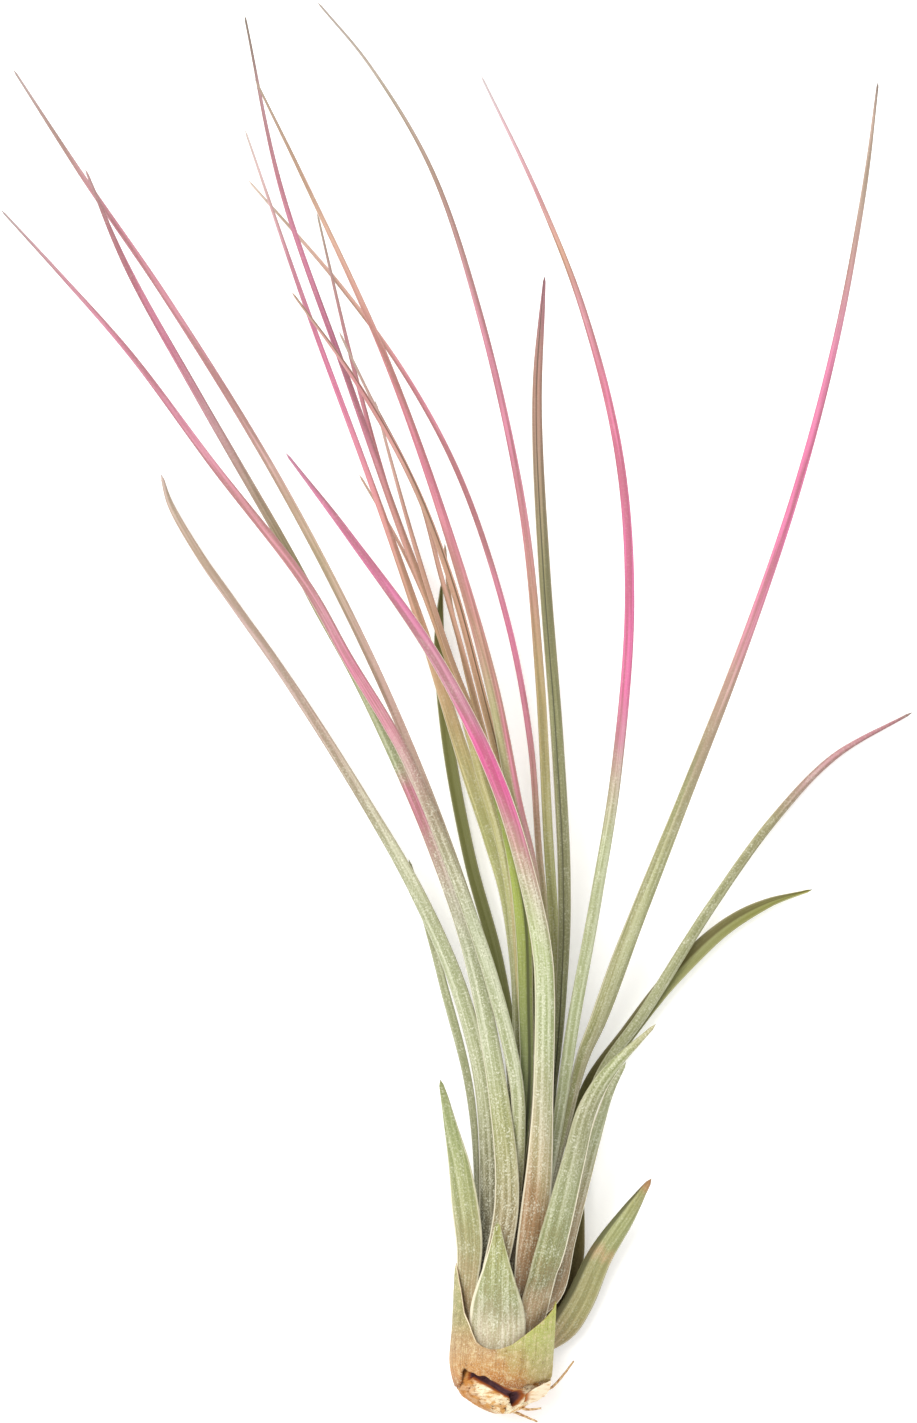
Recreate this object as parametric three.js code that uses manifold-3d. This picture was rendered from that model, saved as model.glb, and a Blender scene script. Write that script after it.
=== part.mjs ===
// Tillandsia juncea, an air plant as picked, lying on a flat surface and seen from above.
// Millimetres, +Z up, leaf tips towards +Y. The origin is on the surface, under the basal sheath.

import * as THREE from "three";
import { mergeVertices } from "three/addons/utils/BufferGeometryUtils.js";
import Module from "manifold-3d";

// Driving dimensions
const WALL = 0.65;
const CLEARANCE = 0.35;
const TIP_WIDTH = 0.7;
const TIP_TAPER = 3;
const SHEATH_STEP = 5.5;
const BLADE_STEP = 10;
const BLADE_START = 58;
const SHEATH_LENGTH = 8;
const FACE_END = { along: 90, share: 0.6 };
const HALF_ANGLE = { open: 50, narrow: 75, rolled: 140 };
const LEAST_RADIUS = 0.06;
const CURVE_DIVISIONS = 400;
const MERGE_DISTANCE = 1e-4;

// Points on the outside and the inside of a leaf's section. A sheath from the half-angle on is a wide one
const NARROW = { outer: 5, inner: 3 };
const WIDE = { outer: 9, inner: 7, fromHalf: 30 };

// The short stem runs up the middle of the bundle, and carries every leaf
const AXIS = { acrossAtOrigin: 0.5, acrossSlope: 0.085, heightAtOrigin: 8.7, heightSlope: 0.035 };
const STEM = { foot: -8, top: 32, footRadius: 5.4, topRadius: 1.1 };
const STEM_SIDES = 14;
const STUB = [
  [-13.3, 3.4],
  [-12.3, 5.2],
  [-10.6, 6.7],
  [-8.6, 7],
  [-8.4, STEM.footRadius],
];
const BULGE_AT = 8;
const CUT_RAGGEDNESS = 0.35;

// The basal sheath is a cup round the foot of the plant, and what is left of an older one hangs below it.
// rim gives [degrees, along], and lip the radius down to which the cup closes on the stem.
const CUP = {
  foot: -8,
  shoulder: -3.5,
  lip: STEM.footRadius + CLEARANCE,
  footRadius: 7.4,
  radius: 9.4,
  wall: 0.7,
  steps: 25,
  rim: [[-155, 4.5], [-75, 4.5], [-58, -5.2], [3, -5.2], [16, 6.8], [24, 5.5], [41, 3.6], [66, 0.7],
    [80, -0.6], [105, -1.7], [122, -0.4], [138, 2.6], [150, 4.2], [164, 5.4]],
};
const HUSK = {
  foot: -11.2,
  shoulder: -8.8,
  lip: 7.2,
  footRadius: 7.9,
  radius: 9.3,
  wall: 0.7,
  steps: 8,
  rim: [[-4, -7.5], [15, -7.8], [30, -8.3], [56, -9.6]],
};

// Thin dry roots that grow from the cut end, as [across, along, height]
const ROOT_RADIUS = 0.35;
const ROOT_SIDES = 6;
const ROOTS = [
  [[3, -9, 7.5], [8.8, -9, 6.4], [11, -7, 6], [13.3, -4, 5.8]],
  [[2, -11.6, 9.5], [4.8, -12.6, 10], [7.4, -12.4, 10.4]],
  [[1, -12.6, 8], [3.2, -13.4, 7.8], [6.7, -14.9, 7.2]],
];

// Leaf colours as seen from a step away
const COLOURS = {
  sheath: 0x96735a,
  sage: 0x9aa078,
  olive: 0x7f8249,
  lime: 0x96a52f,
  green: 0x8f9a5c,
  rose: 0xc77a9a,
  pink: 0xd9699f,
  mauve: 0xab6a80,
  brown: 0x94705c,
  tan: 0xb59a6a,
  stem: 0xcf9c58,
  husk: 0xb98d5c,
};

// Every leaf clasps the stem at its foot, turned by angle about the stem: 0 is right, 90 up, 180 left.
// midline gives points [across, along] of the blade, heights [along, height] and widths [along, width].
// face is the way that the blade's back turns towards the tip, and faceEnd how far along it has turned there.
// A leaf with clasp stays bent round the stem.
const LEAVES = [
  {
    name: "leaf_left_pink",
    colour: "rose",
    sheath: { angle: 92.5, half: 11.5, foot: 3 },
    face: 100,
    midline: [[2.4, 25], [3.2, 36], [2.9, 46], [-1.6, 65], [-9, 86], [-16.7, 104.4],
      [-20.6, 111.5], [-27.3, 122.4], [-34.7, 135.5], [-51.3, 157], [-66.2, 177], [-78.5, 191], [-89.5, 203]],
    heights: [[25, 15.9], [36, 17.1], [46, 19], [65, 21.4], [203, 36]],
    widths: [[25, 2.7], [43, 2.5], [60, 2.7], [86, 2.3], [135, 1.9], [177, 1.1]],
  },
  {
    name: "leaf_left_mauve",
    colour: "mauve",
    sheath: { angle: 112, half: 14, foot: -4.5, bulge: 8.05 },
    face: 110,
    midline: [[1, 25], [-0.6, 45], [-5.8, 71], [-12.5, 90], [-19, 105], [-26, 119.5],
      [-32.7, 131.5], [-38.9, 143], [-54.7, 170.5], [-67.1, 193], [-74.5, 210.5]],
    heights: [[25, 18], [45, 17.9], [210, 28]],
    widths: [[8, 4.8], [25, 4.8], [45, 3.8], [71, 3.1], [90, 2.7], [143, 1.8], [193, 1.2]],
  },
  {
    name: "leaf_left_brown",
    colour: "brown",
    sheath: { angle: 84, half: 11, foot: 11 },
    face: 80,
    midline: [[2, 50.5], [-1.5, 65], [-5.8, 79], [-14.5, 102.5], [-25.1, 126.5], [-40.3, 155.5],
      [-60.1, 187.5], [-74.5, 208.5], [-87.5, 228.5]],
    heights: [[50, 17], [228, 24]],
    widths: [[50, 2.2], [79, 1.8], [155, 1.5], [208, 1]],
  },
  {
    name: "leaf_left_low",
    colour: "olive",
    sheath: { angle: 126, half: 10, foot: 3 },
    face: 130,
    midline: [[-3, 43], [-7, 61], [-14.5, 79], [-25, 97.5], [-38.7, 119], [-48.6, 133],
      [-54.2, 141], [-59.6, 150.5], [-61.2, 156]],
    heights: [[43, 14.5], [97, 6], [156, 0.1]],
    widths: [[16, 4], [30, 4.2], [43, 4], [61, 3.8], [79, 3.3], [97, 2.4], [140, 1.7], [150, 1.3]],
  },
  {
    name: "leaf_left_behind",
    colour: "sage",
    sheath: { angle: 153, half: 10, foot: 3 },
    face: 150,
    midline: [[-5.5, 43], [-10.5, 64], [-13.5, 75.5], [-16.5, 86.5]],
    heights: [[43, 11], [86, 3]],
    widths: [[12, 1.6], [25, 1.8], [43, 2.6], [64, 2.4], [75, 1.6]],
  },
  {
    name: "leaf_left_short",
    colour: "green",
    sheath: { angle: 153, half: 19, foot: -4.5, bulge: 8.5 },
    face: 118,
    midline: [[-5.9, 17], [-6.7, 25], [-7.7, 32], [-9.2, 39], [-10.8, 47]],
    heights: [[17, 15], [25, 16], [47, 17.5]],
    widths: [[8, 5.4], [17, 5.9], [25, 5.5], [32, 4.4], [37, 3], [42, 2]],
  },
  {
    name: "scale_front",
    colour: "sage",
    sheath: { angle: 99, half: 44, foot: -4.5, layer: 1 },
    face: 95,
    midline: [[-0.7, 3], [-0.7, 8], [-0.6, 12], [-0.5, 16], [-0.5, 21.5]],
    heights: [[3, 17.05], [8, 18.9], [12, 19.8], [21.5, 20.5]],
    widths: [[3, 10.6], [7, 9.2], [11, 6.4], [14.5, 4.2], [18, 2.2], [20, 1.2]],
    clasp: true,
  },
  {
    name: "leaf_right_short",
    colour: "green",
    sheath: { angle: 342, half: 15, foot: -4.5 },
    face: 75,
    midline: [[10.1, 0.1], [14.3, 6.6], [18.2, 15], [22.8, 22], [27.3, 29]],
    heights: [[0.1, 5.2], [7, 4.9], [29, 8]],
    widths: [[-2, 5.2], [0, 5.8], [3, 5.6], [8, 5.5], [15, 4.7], [21, 3.8], [26, 2]],
    faceEnd: 4,
  },
  {
    name: "leaf_right_curved",
    colour: "green",
    sheath: { angle: 42, half: 28, foot: -4.5, bulge: 8.2 },
    face: 66,
    midline: [[8.6, 13], [9.7, 17], [10.8, 21.4], [13.5, 32.6], [15.9, 41.6], [19.5, 48], [28, 57]],
    heights: [[13, 16.6], [21, 17.2], [57, 20]],
    widths: [[3, 7], [8, 7], [13, 6.4], [17, 6.4], [21, 5.8], [32, 4.5], [41, 4], [48, 2.8]],
  },
  {
    name: "leaf_right_narrow",
    colour: "sage",
    sheath: { angle: 10, half: 12, foot: 3 },
    face: 62,
    midline: [[10.2, 8], [12.6, 18], [15.1, 28], [17.2, 36], [20.1, 45], [22.7, 50]],
    heights: [[8, 8.6], [19, 9], [50, 9.5]],
    widths: [[3, 2.6], [10, 2.6], [18, 2.6], [28, 2.8], [36, 2.6], [45, 1.5]],
    faceEnd: 10,
  },
  {
    name: "leaf_right_far",
    colour: "olive",
    sheath: { angle: 334, half: 11, foot: 11 },
    face: 60,
    midline: [[13.5, 34], [18, 47], [26, 58.5], [38, 77.5], [49.5, 93.5], [60.5, 105], [74.5, 113]],
    heights: [[34, 8], [113, 0.2]],
    widths: [[34, 3], [58, 2.5], [93, 1.8], [105, 1.3]],
  },
  {
    name: "leaf_right_under",
    colour: "olive",
    sheath: { angle: 300, half: 14, foot: -4.5 },
    face: 300,
    midline: [[8, 2], [11.4, 8], [13.4, 14], [13.8, 20], [13.7, 28], [13.6, 36], [16.5, 45.5],
      [23.3, 55], [31.2, 65], [40.6, 74], [48.5, 78.5], [56.5, 81]],
    heights: [[2, 2.2], [8, 2], [20, 3], [36, 4.2], [81, 1.5]],
    widths: [[8, 4.4], [20, 3.8], [36, 3.4], [55, 3.2], [70, 3.5], [77, 2.6]],
  },
  {
    name: "leaf_right_tall",
    colour: "olive",
    sheath: { angle: 7, half: 11, foot: 11 },
    face: 76,
    midline: [[11.7, 36], [15.1, 50.4], [18, 57.6], [23.2, 72], [33.1, 97.2], [43, 122.5],
      [53, 151.5], [60.5, 180], [65.5, 207], [68, 226.5]],
    heights: [[36, 11], [226, 16]],
    widths: [[36, 3.2], [50, 3.4], [58, 4], [65, 3.9], [74, 3.3], [97, 2.5], [151, 1.6], [207, 1]],
  },
  {
    name: "leaf_pink_arched",
    colour: "pink",
    sheath: { angle: 32, half: 10, foot: 11 },
    face: 70,
    midline: [[10.5, 38], [13.4, 57], [17.5, 80], [21, 102], [23.4, 133], [21.5, 159],
      [15.2, 184.5], [7, 205.5], [-3.5, 227.5]],
    heights: [[38, 14], [227, 21]],
    widths: [[38, 3], [58, 2.8], [80, 2.3], [133, 1.9], [184, 1.3]],
  },
  {
    name: "leaf_olive_tall",
    colour: "olive",
    sheath: { angle: 14, half: 16, foot: 19 },
    face: 80,
    midline: [[9.5, 43], [11.5, 68.5], [11.6, 84.5], [10.35, 108], [7.9, 140.5], [6.7, 169],
      [8, 191.5]],
    heights: [[43, 11.4], [191, 16]],
    widths: [[43, 2.4], [84, 2.4], [140, 2.2], [160, 2], [175, 1.7], [185, 1.1]],
  },
  {
    name: "leaf_rose_long",
    colour: "rose",
    sheath: { angle: 340, half: 14, foot: 19 },
    face: 90,
    midline: [[9.5, 38], [10, 68.5], [8.7, 90], [7.1, 120], [4, 150], [-3.9, 185.5], [-12.5, 211],
      [-23.5, 229.5], [-33, 241]],
    heights: [[38, 7.6], [241, 10]],
    widths: [[38, 2.2], [68, 1.9], [120, 1.7], [185, 1.2]],
  },
  {
    name: "strand_pink_low",
    colour: "rose",
    sheath: { angle: 305, half: 14, foot: 19 },
    face: 90,
    midline: [[7.2, 45], [8.2, 74], [7, 88], [5.4, 108], [1.3, 129.5], [-7.1, 155],
      [-16.9, 173.5], [-28.9, 190], [-45.5, 209]],
    heights: [[45, 5.6], [209, 3.5]],
    widths: [[45, 1.7], [88, 1.2], [155, 1], [190, 0.8]],
  },
  {
    name: "leaf_pink_front",
    colour: "pink",
    sheath: { angle: 65.5, half: 10, foot: 3, bulge: 6.8 },
    face: 84,
    midline: [[6.6, 25], [7.5, 36], [8.1, 62], [7.6, 70], [5.2, 82], [-0.5, 100.5],
      [-11.5, 122.5], [-27, 144.5], [-38.5, 159.5]],
    heights: [[25, 17.6], [159, 32]],
    widths: [[8, 3.6], [16, 5.4], [25, 5.6], [43, 3.8], [71, 3.6], [86, 3.2], [104, 2.9],
      [130, 2.1], [148, 1.3]],
  },
  {
    name: "strand_thick",
    colour: "brown",
    sheath: { angle: 120, half: 18, foot: 27 },
    face: 90,
    midline: [[3.2, 43], [3.1, 62], [2, 79], [0, 90], [-3.2, 101], [-9.2, 122.5], [-18.5, 147.5],
      [-27.5, 173], [-39.5, 207.5], [-46, 238.5]],
    heights: [[43, 13], [62, 13.5], [101, 13.8], [238, 15.5]],
    widths: [[43, 1.8], [101, 1.9], [147, 1.3], [207, 0.9]],
  },
  {
    name: "strand_orange",
    colour: "tan",
    sheath: { angle: 185, half: 18, foot: 27 },
    face: 90,
    midline: [[1.8, 43], [2.9, 62], [1.5, 79], [-1.6, 90], [-5.3, 101], [-14.5, 129.5],
      [-23.5, 155], [-35.5, 187.5], [-46, 218]],
    heights: [[43, 10.4], [218, 9]],
    widths: [[43, 2.2], [79, 3], [101, 2.8], [133, 1.6], [155, 1.1], [187, 0.9]],
  },
  {
    name: "strand_tan_pink",
    colour: "rose",
    sheath: { angle: 58, half: 11, foot: 11 },
    face: 90,
    midline: [[7.7, 43], [7.35, 61], [5.9, 83], [2.7, 97], [-1.8, 119], [-10.1, 147.5],
      [-21, 177.5], [-34.5, 207], [-44, 226.5]],
    heights: [[43, 15.8], [226, 31]],
    widths: [[43, 2], [70, 2], [88, 2.4], [105, 2.6], [119, 2.4], [147, 1.7], [177, 1.2], [207, 0.8]],
  },
  {
    name: "strand_thin",
    colour: "mauve",
    sheath: { angle: 235, half: 20, foot: 27 },
    face: 90,
    midline: [[3.8, 46], [3.2, 62], [1.4, 83], [-5.5, 108], [-12, 131.5], [-18.5, 147.5],
      [-26, 173.5], [-33, 203]],
    heights: [[46, 8.2], [203, 5.8]],
    widths: [[46, 1.2], [131, 1], [173, 0.8]],
  },
  {
    name: "strand_grooved",
    colour: "mauve",
    sheath: { angle: 58, half: 15, foot: 19 },
    face: 90,
    midline: [[7.2, 43], [6.7, 61], [3.5, 86.5], [0.5, 101], [-3, 115], [-9, 137], [-16, 155],
      [-26, 172.5], [-37.5, 188.5]],
    heights: [[43, 14], [188, 23.5]],
    widths: [[43, 1.7], [101, 1.7], [137, 1.3], [172, 0.9]],
  },
  {
    name: "strand_fine",
    colour: "brown",
    sheath: { angle: 25, half: 18, foot: 27 },
    face: 90,
    midline: [[7.2, 45], [5.5, 61], [2, 88], [-5.5, 119], [-10.5, 137], [-15, 153], [-23.5, 170],
      [-29, 181.5]],
    heights: [[45, 11.8], [88, 11.9], [119, 13.6], [181, 18]],
    widths: [[45, 1.2], [119, 1], [153, 0.8]],
  },
  {
    name: "strand_slim",
    colour: "brown",
    sheath: { angle: 75, half: 20, foot: 27 },
    face: 90,
    midline: [[5.4, 45], [3.7, 61], [1, 92], [-3.4, 108.5], [-8.8, 122.5], [-14.6, 140.5],
      [-20, 159.5], [-22.5, 169]],
    heights: [[45, 13.4], [61, 15.2], [169, 18.5]],
    widths: [[45, 1.3], [108, 1.1], [140, 0.9]],
  },
  {
    name: "strand_hair_left",
    colour: "tan",
    sheath: { angle: 205, half: 20, foot: -4.5, bulge: 8.2 },
    face: 90,
    midline: [[2.5, 43], [3.2, 60], [-1, 92], [-7.5, 119], [-13.5, 133.5], [-18.5, 144], [-25.5, 156]],
    heights: [[43, 4.7], [156, 3.8]],
    widths: [[8, 5.4], [30, 3], [43, 1.2], [92, 1], [133, 0.8]],
  },
  {
    name: "strand_hair_middle",
    colour: "tan",
    sheath: { angle: 262, half: 20, foot: 11 },
    face: 90,
    midline: [[4.2, 43], [3.5, 61], [-0.5, 92], [-3.5, 109], [-6.5, 122], [-9, 133], [-10, 143.5]],
    heights: [[43, 6.2], [143, 5.2]],
    widths: [[43, 1.2], [92, 1], [133, 0.8]],
  },
  {
    name: "leaf_lime",
    colour: "lime",
    sheath: { angle: 98, half: 15, foot: 19 },
    face: 90,
    midline: [[4.6, 43], [4.6, 60], [3.8, 77.5], [1.2, 91], [-1.8, 100]],
    heights: [[43, 15.7], [60, 17.4], [77, 19], [100, 21.5]],
    widths: [[43, 2.4], [66, 2.8], [77, 3], [91, 1.7]],
  },
  {
    name: "leaf_olive_back",
    colour: "olive",
    sheath: { angle: 250, half: 20, foot: -4.5, bulge: 7.6 },
    face: 264,
    midline: [[2.4, 18], [3, 28], [3, 43], [-0.5, 67.5], [-5.5, 86.5], [-9.5, 108], [-11, 126],
      [-10.5, 136.5]],
    heights: [[18, 1], [30, 1.1], [43, 2.2], [136, 2]],
    widths: [[6, 5.2], [12, 5.4], [18, 9], [26, 9], [33, 5.6], [43, 2.6], [86, 2.3], [123, 2.2],
      [130, 1.5]],
  },
];

const wasm = await Module();
wasm.setup();

function axisPoint(along) {
  return new THREE.Vector3(
    AXIS.acrossAtOrigin + AXIS.acrossSlope * along,
    along,
    AXIS.heightAtOrigin + AXIS.heightSlope * along,
  );
}

function outward(degrees) {
  const angle = THREE.MathUtils.degToRad(degrees);
  return new THREE.Vector3(Math.cos(angle), 0, Math.sin(angle));
}

function stemRadius(along) {
  return THREE.MathUtils.mapLinear(along, STEM.foot, STEM.top, STEM.footRadius, STEM.topRadius);
}

// Value at a place in a table of [place, value] rows, straight between them
function lookUp(rows, place) {
  if (place <= rows[0][0]) {
    return rows[0][1];
  }
  for (let i = 1; i < rows.length; i += 1) {
    const [x0, y0] = rows[i - 1];
    const [x1, y1] = rows[i];
    if (place <= x1) {
      return THREE.MathUtils.mapLinear(place, x0, x1, y0, y1);
    }
  }
  return rows[rows.length - 1][1];
}

// How far from the stem's middle the back of a sheath starts, in the layer next to the stem or outside it
function footReach({ foot, layer = 0 }) {
  return stemRadius(foot) + (CLEARANCE + WALL) * (1 + layer);
}

function leafCurve(leaf) {
  const { angle, foot } = leaf.sheath;
  const points = [axisPoint(foot).addScaledVector(outward(angle), footReach(leaf.sheath))];
  if (leaf.sheath.bulge) {
    points.push(axisPoint(BULGE_AT).addScaledVector(outward(angle), leaf.sheath.bulge));
  }
  for (const [across, along] of leaf.midline) {
    points.push(new THREE.Vector3(across, along, lookUp(leaf.heights, along)));
  }
  return new THREE.CatmullRomCurve3(points, false, "centripetal");
}

// Lengths along the curve at which the leaf has a section: close in the sheath, wide apart in the blade
function stationLengths(total) {
  const lengths = [];
  const end = total - TIP_TAPER;
  let at = 0;
  while (at < end - BLADE_STEP / 2) {
    lengths.push(at);
    at += at < BLADE_START ? SHEATH_STEP : BLADE_STEP;
  }
  lengths.push(end);
  return lengths;
}

// Half-angle of a blade's channel: shallow where it is wide, rolled up where it is narrow
function bladeHalfAngle(halfWidth) {
  const { open, narrow, rolled } = HALF_ANGLE;
  const narrowing = THREE.MathUtils.clamp(2 - halfWidth, 0, 1);
  const rolling = THREE.MathUtils.clamp((1 - halfWidth) / 0.6, 0, 1);
  return open + (narrow - open) * narrowing + (rolled - narrow) * rolling;
}

function leafSection(leaf, rib, tipAlong) {
  const place = rib.y;
  const reach = rib.distanceTo(axisPoint(place));
  const { half, foot } = leaf.sheath;
  const footWidth = 2 * footReach(leaf.sheath) * Math.sin(THREE.MathUtils.degToRad(half));
  const rows = [[foot, footWidth], ...leaf.widths, [tipAlong, TIP_WIDTH]];
  const halfWidth = lookUp(rows, place) / 2;
  const bladeShare = THREE.MathUtils.smoothstep(place, foot + SHEATH_LENGTH, Math.min(BLADE_START, tipAlong));
  const clasping = THREE.MathUtils.radToDeg(Math.asin(Math.min(halfWidth / reach, 1)));
  const degrees = leaf.clasp ? clasping : THREE.MathUtils.lerp(half, bladeHalfAngle(halfWidth), bladeShare);
  const angle = THREE.MathUtils.degToRad(degrees);
  const radius = degrees < 90 ? halfWidth / Math.sin(angle) : halfWidth;
  const depth = radius * (1 - Math.cos(angle));
  const raise = leaf.clasp ? 0 : (bladeShare * depth) / 2;
  return { angle, radius, inner: Math.max(radius - WALL, LEAST_RADIUS), raise };
}

// Points of a section as (side, out). A sheath's back and a blade's middle lie on the leaf's midline
function sectionPoints({ angle, radius, inner, raise }, counts) {
  const points = [];
  for (let i = 0; i < counts.outer; i += 1) {
    const turn = THREE.MathUtils.mapLinear(i, 0, counts.outer - 1, -angle, angle);
    points.push(new THREE.Vector2(radius * Math.sin(turn), radius * (Math.cos(turn) - 1) + raise));
  }
  for (let i = 0; i < counts.inner; i += 1) {
    const turn = THREE.MathUtils.mapLinear(i, 0, counts.inner - 1, angle, -angle);
    points.push(new THREE.Vector2(inner * Math.sin(turn), inner * Math.cos(turn) - radius + raise));
  }
  return points;
}

function meshGeometry(vertices, triangles) {
  const geometry = new THREE.BufferGeometry();
  const places = vertices.flatMap((vertex) => vertex.toArray());
  geometry.setAttribute("position", new THREE.Float32BufferAttribute(places, 3));
  geometry.setIndex(triangles.flat());
  return geometry;
}

// One closed body from rings of equally many points, with a cap on the first and a point after the last
function skin(rings, tip, capTriangles) {
  const size = rings[0].length;
  const vertices = [...rings.flat(), tip];
  const triangles = [...capTriangles];
  for (let i = 0; i + 1 < rings.length; i += 1) {
    for (let j = 0; j < size; j += 1) {
      const next = (j + 1) % size;
      const [a, b] = [i * size + j, i * size + next];
      triangles.push([a, b, a + size], [b, b + size, a + size]);
    }
  }
  const lastRing = (rings.length - 1) * size;
  for (let j = 0; j < size; j += 1) {
    triangles.push([lastRing + j, lastRing + ((j + 1) % size), vertices.length - 1]);
  }
  return meshGeometry(vertices, triangles);
}

// Nothing reaches below the surface that the plant lies on
function onSurface(point, least = 0) {
  point.z = Math.max(point.z, least);
  return point;
}

function leafGeometry(leaf) {
  const curve = leafCurve(leaf);
  curve.arcLengthDivisions = CURVE_DIVISIONS;
  const total = curve.getLength();
  const tip = curve.getPoint(1);
  const counts = leaf.sheath.half < WIDE.fromHalf ? NARROW : WIDE;
  const { angle, foot } = leaf.sheath;
  const faceEnd = leaf.faceEnd ?? Math.min(FACE_END.along, foot + FACE_END.share * (tip.y - foot));
  const swing = ((((leaf.face - angle) % 360) + 540) % 360) - 180;
  const rings = [];
  let cap = null;
  for (const length of stationLengths(total)) {
    const rib = curve.getPointAt(length / total);
    const tangent = curve.getTangentAt(length / total);
    const turned = THREE.MathUtils.smoothstep(rib.y, foot, faceEnd);
    const out = outward(angle + swing * turned);
    out.addScaledVector(tangent, -out.dot(tangent)).normalize();
    const side = new THREE.Vector3().crossVectors(tangent, out);
    const points = sectionPoints(leafSection(leaf, rib, tip.y), counts);
    cap ??= THREE.ShapeUtils.triangulateShape(points, []);
    const place = (point) => rib.clone().addScaledVector(side, point.x).addScaledVector(out, point.y);
    rings.push(points.map((point) => onSurface(place(point))));
  }
  return skin(rings, tip, cap);
}

// A sheath that wraps the stem as a ring with a slit, thick enough to hold its shape
function wrapGeometry({ foot, shoulder, lip, footRadius, radius, wall, steps, rim }) {
  const rings = [];
  const [start, end] = [rim[0][0], rim[rim.length - 1][0]];
  for (let i = 0; i < steps; i += 1) {
    const degrees = THREE.MathUtils.mapLinear(i, 0, steps - 1, start, end);
    const top = lookUp(rim, degrees);
    const bend = Math.min(shoulder, top - 1);
    const outer = [[lip, foot], [footRadius, foot], [radius, bend], [radius, top]];
    const inner = [
      [radius - wall, top],
      [radius - wall, bend],
      [footRadius - wall, foot + wall],
      [lip, foot + wall],
    ];
    const place = ([out, along], least) =>
      onSurface(axisPoint(along).addScaledVector(outward(degrees), out), least);
    rings.push([...outer.map((p) => place(p, 0)), ...inner.map((p) => place(p, wall))]);
  }
  return loft(rings.reverse());
}

// One closed body through rings of equally many points, with a flat cap on both ends
function loft(rings) {
  const size = rings[0].length;
  const vertices = rings.flat();
  const [a, b, c] = [rings[0][0], rings[0][1], rings[0][2]];
  const normal = new THREE.Vector3().subVectors(b, a).cross(new THREE.Vector3().subVectors(c, a)).normalize();
  const across = new THREE.Vector3().subVectors(b, a).normalize();
  const up = new THREE.Vector3().crossVectors(normal, across);
  const flat = rings[0].map((p) => new THREE.Vector2(p.dot(across), p.dot(up)));
  const cap = THREE.ShapeUtils.triangulateShape(flat, []);
  const lastRing = (rings.length - 1) * size;
  const triangles = [...cap, ...cap.map(([i, j, k]) => [lastRing + i, lastRing + k, lastRing + j])];
  for (let i = 0; i + 1 < rings.length; i += 1) {
    for (let j = 0; j < size; j += 1) {
      const next = (j + 1) % size;
      const [p, q] = [i * size + j, i * size + next];
      triangles.push([p, p + size, q], [q, p + size, q + size]);
    }
  }
  return meshGeometry(vertices, triangles);
}

function toSolid(geometry) {
  const bare = geometry.clone();
  bare.deleteAttribute("normal");
  bare.deleteAttribute("uv");
  const merged = mergeVertices(bare, MERGE_DISTANCE);
  const vertProperties = new Float32Array(merged.attributes.position.array);
  const triVerts = new Uint32Array(merged.index.array);
  return new wasm.Manifold(new wasm.Mesh({ numProp: 3, vertProperties, triVerts }));
}

function fromSolid(solid) {
  const { vertProperties, triVerts } = solid.getMesh();
  const geometry = new THREE.BufferGeometry();
  geometry.setAttribute("position", new THREE.BufferAttribute(vertProperties, 3));
  geometry.setIndex(new THREE.BufferAttribute(triVerts, 1));
  return geometry;
}

function stemRings() {
  const rows = [...STUB, [STEM.foot, STEM.footRadius], [STEM.top, STEM.topRadius]];
  return rows.map(([along, radius], row) => {
    const ring = [];
    for (let i = 0; i < STEM_SIDES; i += 1) {
      const degrees = (i / STEM_SIDES) * 360;
      const point = axisPoint(along).addScaledVector(outward(degrees), radius);
      point.y += row === 0 ? CUT_RAGGEDNESS * (i % 2 ? 1 : -1) : 0;
      ring.push(point);
    }
    return ring;
  });
}

function rootGeometry(points) {
  const section = new THREE.Shape();
  for (let i = 0; i < ROOT_SIDES; i += 1) {
    const turn = (i / ROOT_SIDES) * 2 * Math.PI;
    section[i ? "lineTo" : "moveTo"](ROOT_RADIUS * Math.cos(turn), ROOT_RADIUS * Math.sin(turn));
  }
  const path = new THREE.CatmullRomCurve3(points.map((p) => new THREE.Vector3(...p)));
  return new THREE.ExtrudeGeometry(section, { steps: 4 * points.length, extrudePath: path });
}

// The stem with its cut end, and the roots grown from it
function stemGeometry() {
  let solid = toSolid(loft(stemRings()));
  for (const points of ROOTS) {
    solid = solid.add(toSolid(rootGeometry(points)));
  }
  return fromSolid(solid);
}

function material(colour) {
  return new THREE.MeshStandardMaterial({ color: COLOURS[colour], roughness: 0.75, metalness: 0 });
}

function addMesh(group, name, geometry, colour) {
  const mesh = new THREE.Mesh(geometry, material(colour));
  mesh.name = name;
  group.add(mesh);
}

const plant = new THREE.Group();
addMesh(plant, "stem", stemGeometry(), "stem");
addMesh(plant, "husk_dry", wrapGeometry(HUSK), "husk");
addMesh(plant, "sheath_basal", wrapGeometry(CUP), "sheath");
for (const leaf of LEAVES) {
  addMesh(plant, leaf.name, leafGeometry(leaf), leaf.colour);
}

export default plant;
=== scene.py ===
# Tillandsia juncea lying on a pale surface, dressed with fine leaf surfaces and procedural skins
import math

import bpy
import numpy as np
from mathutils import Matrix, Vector, noise


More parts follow.
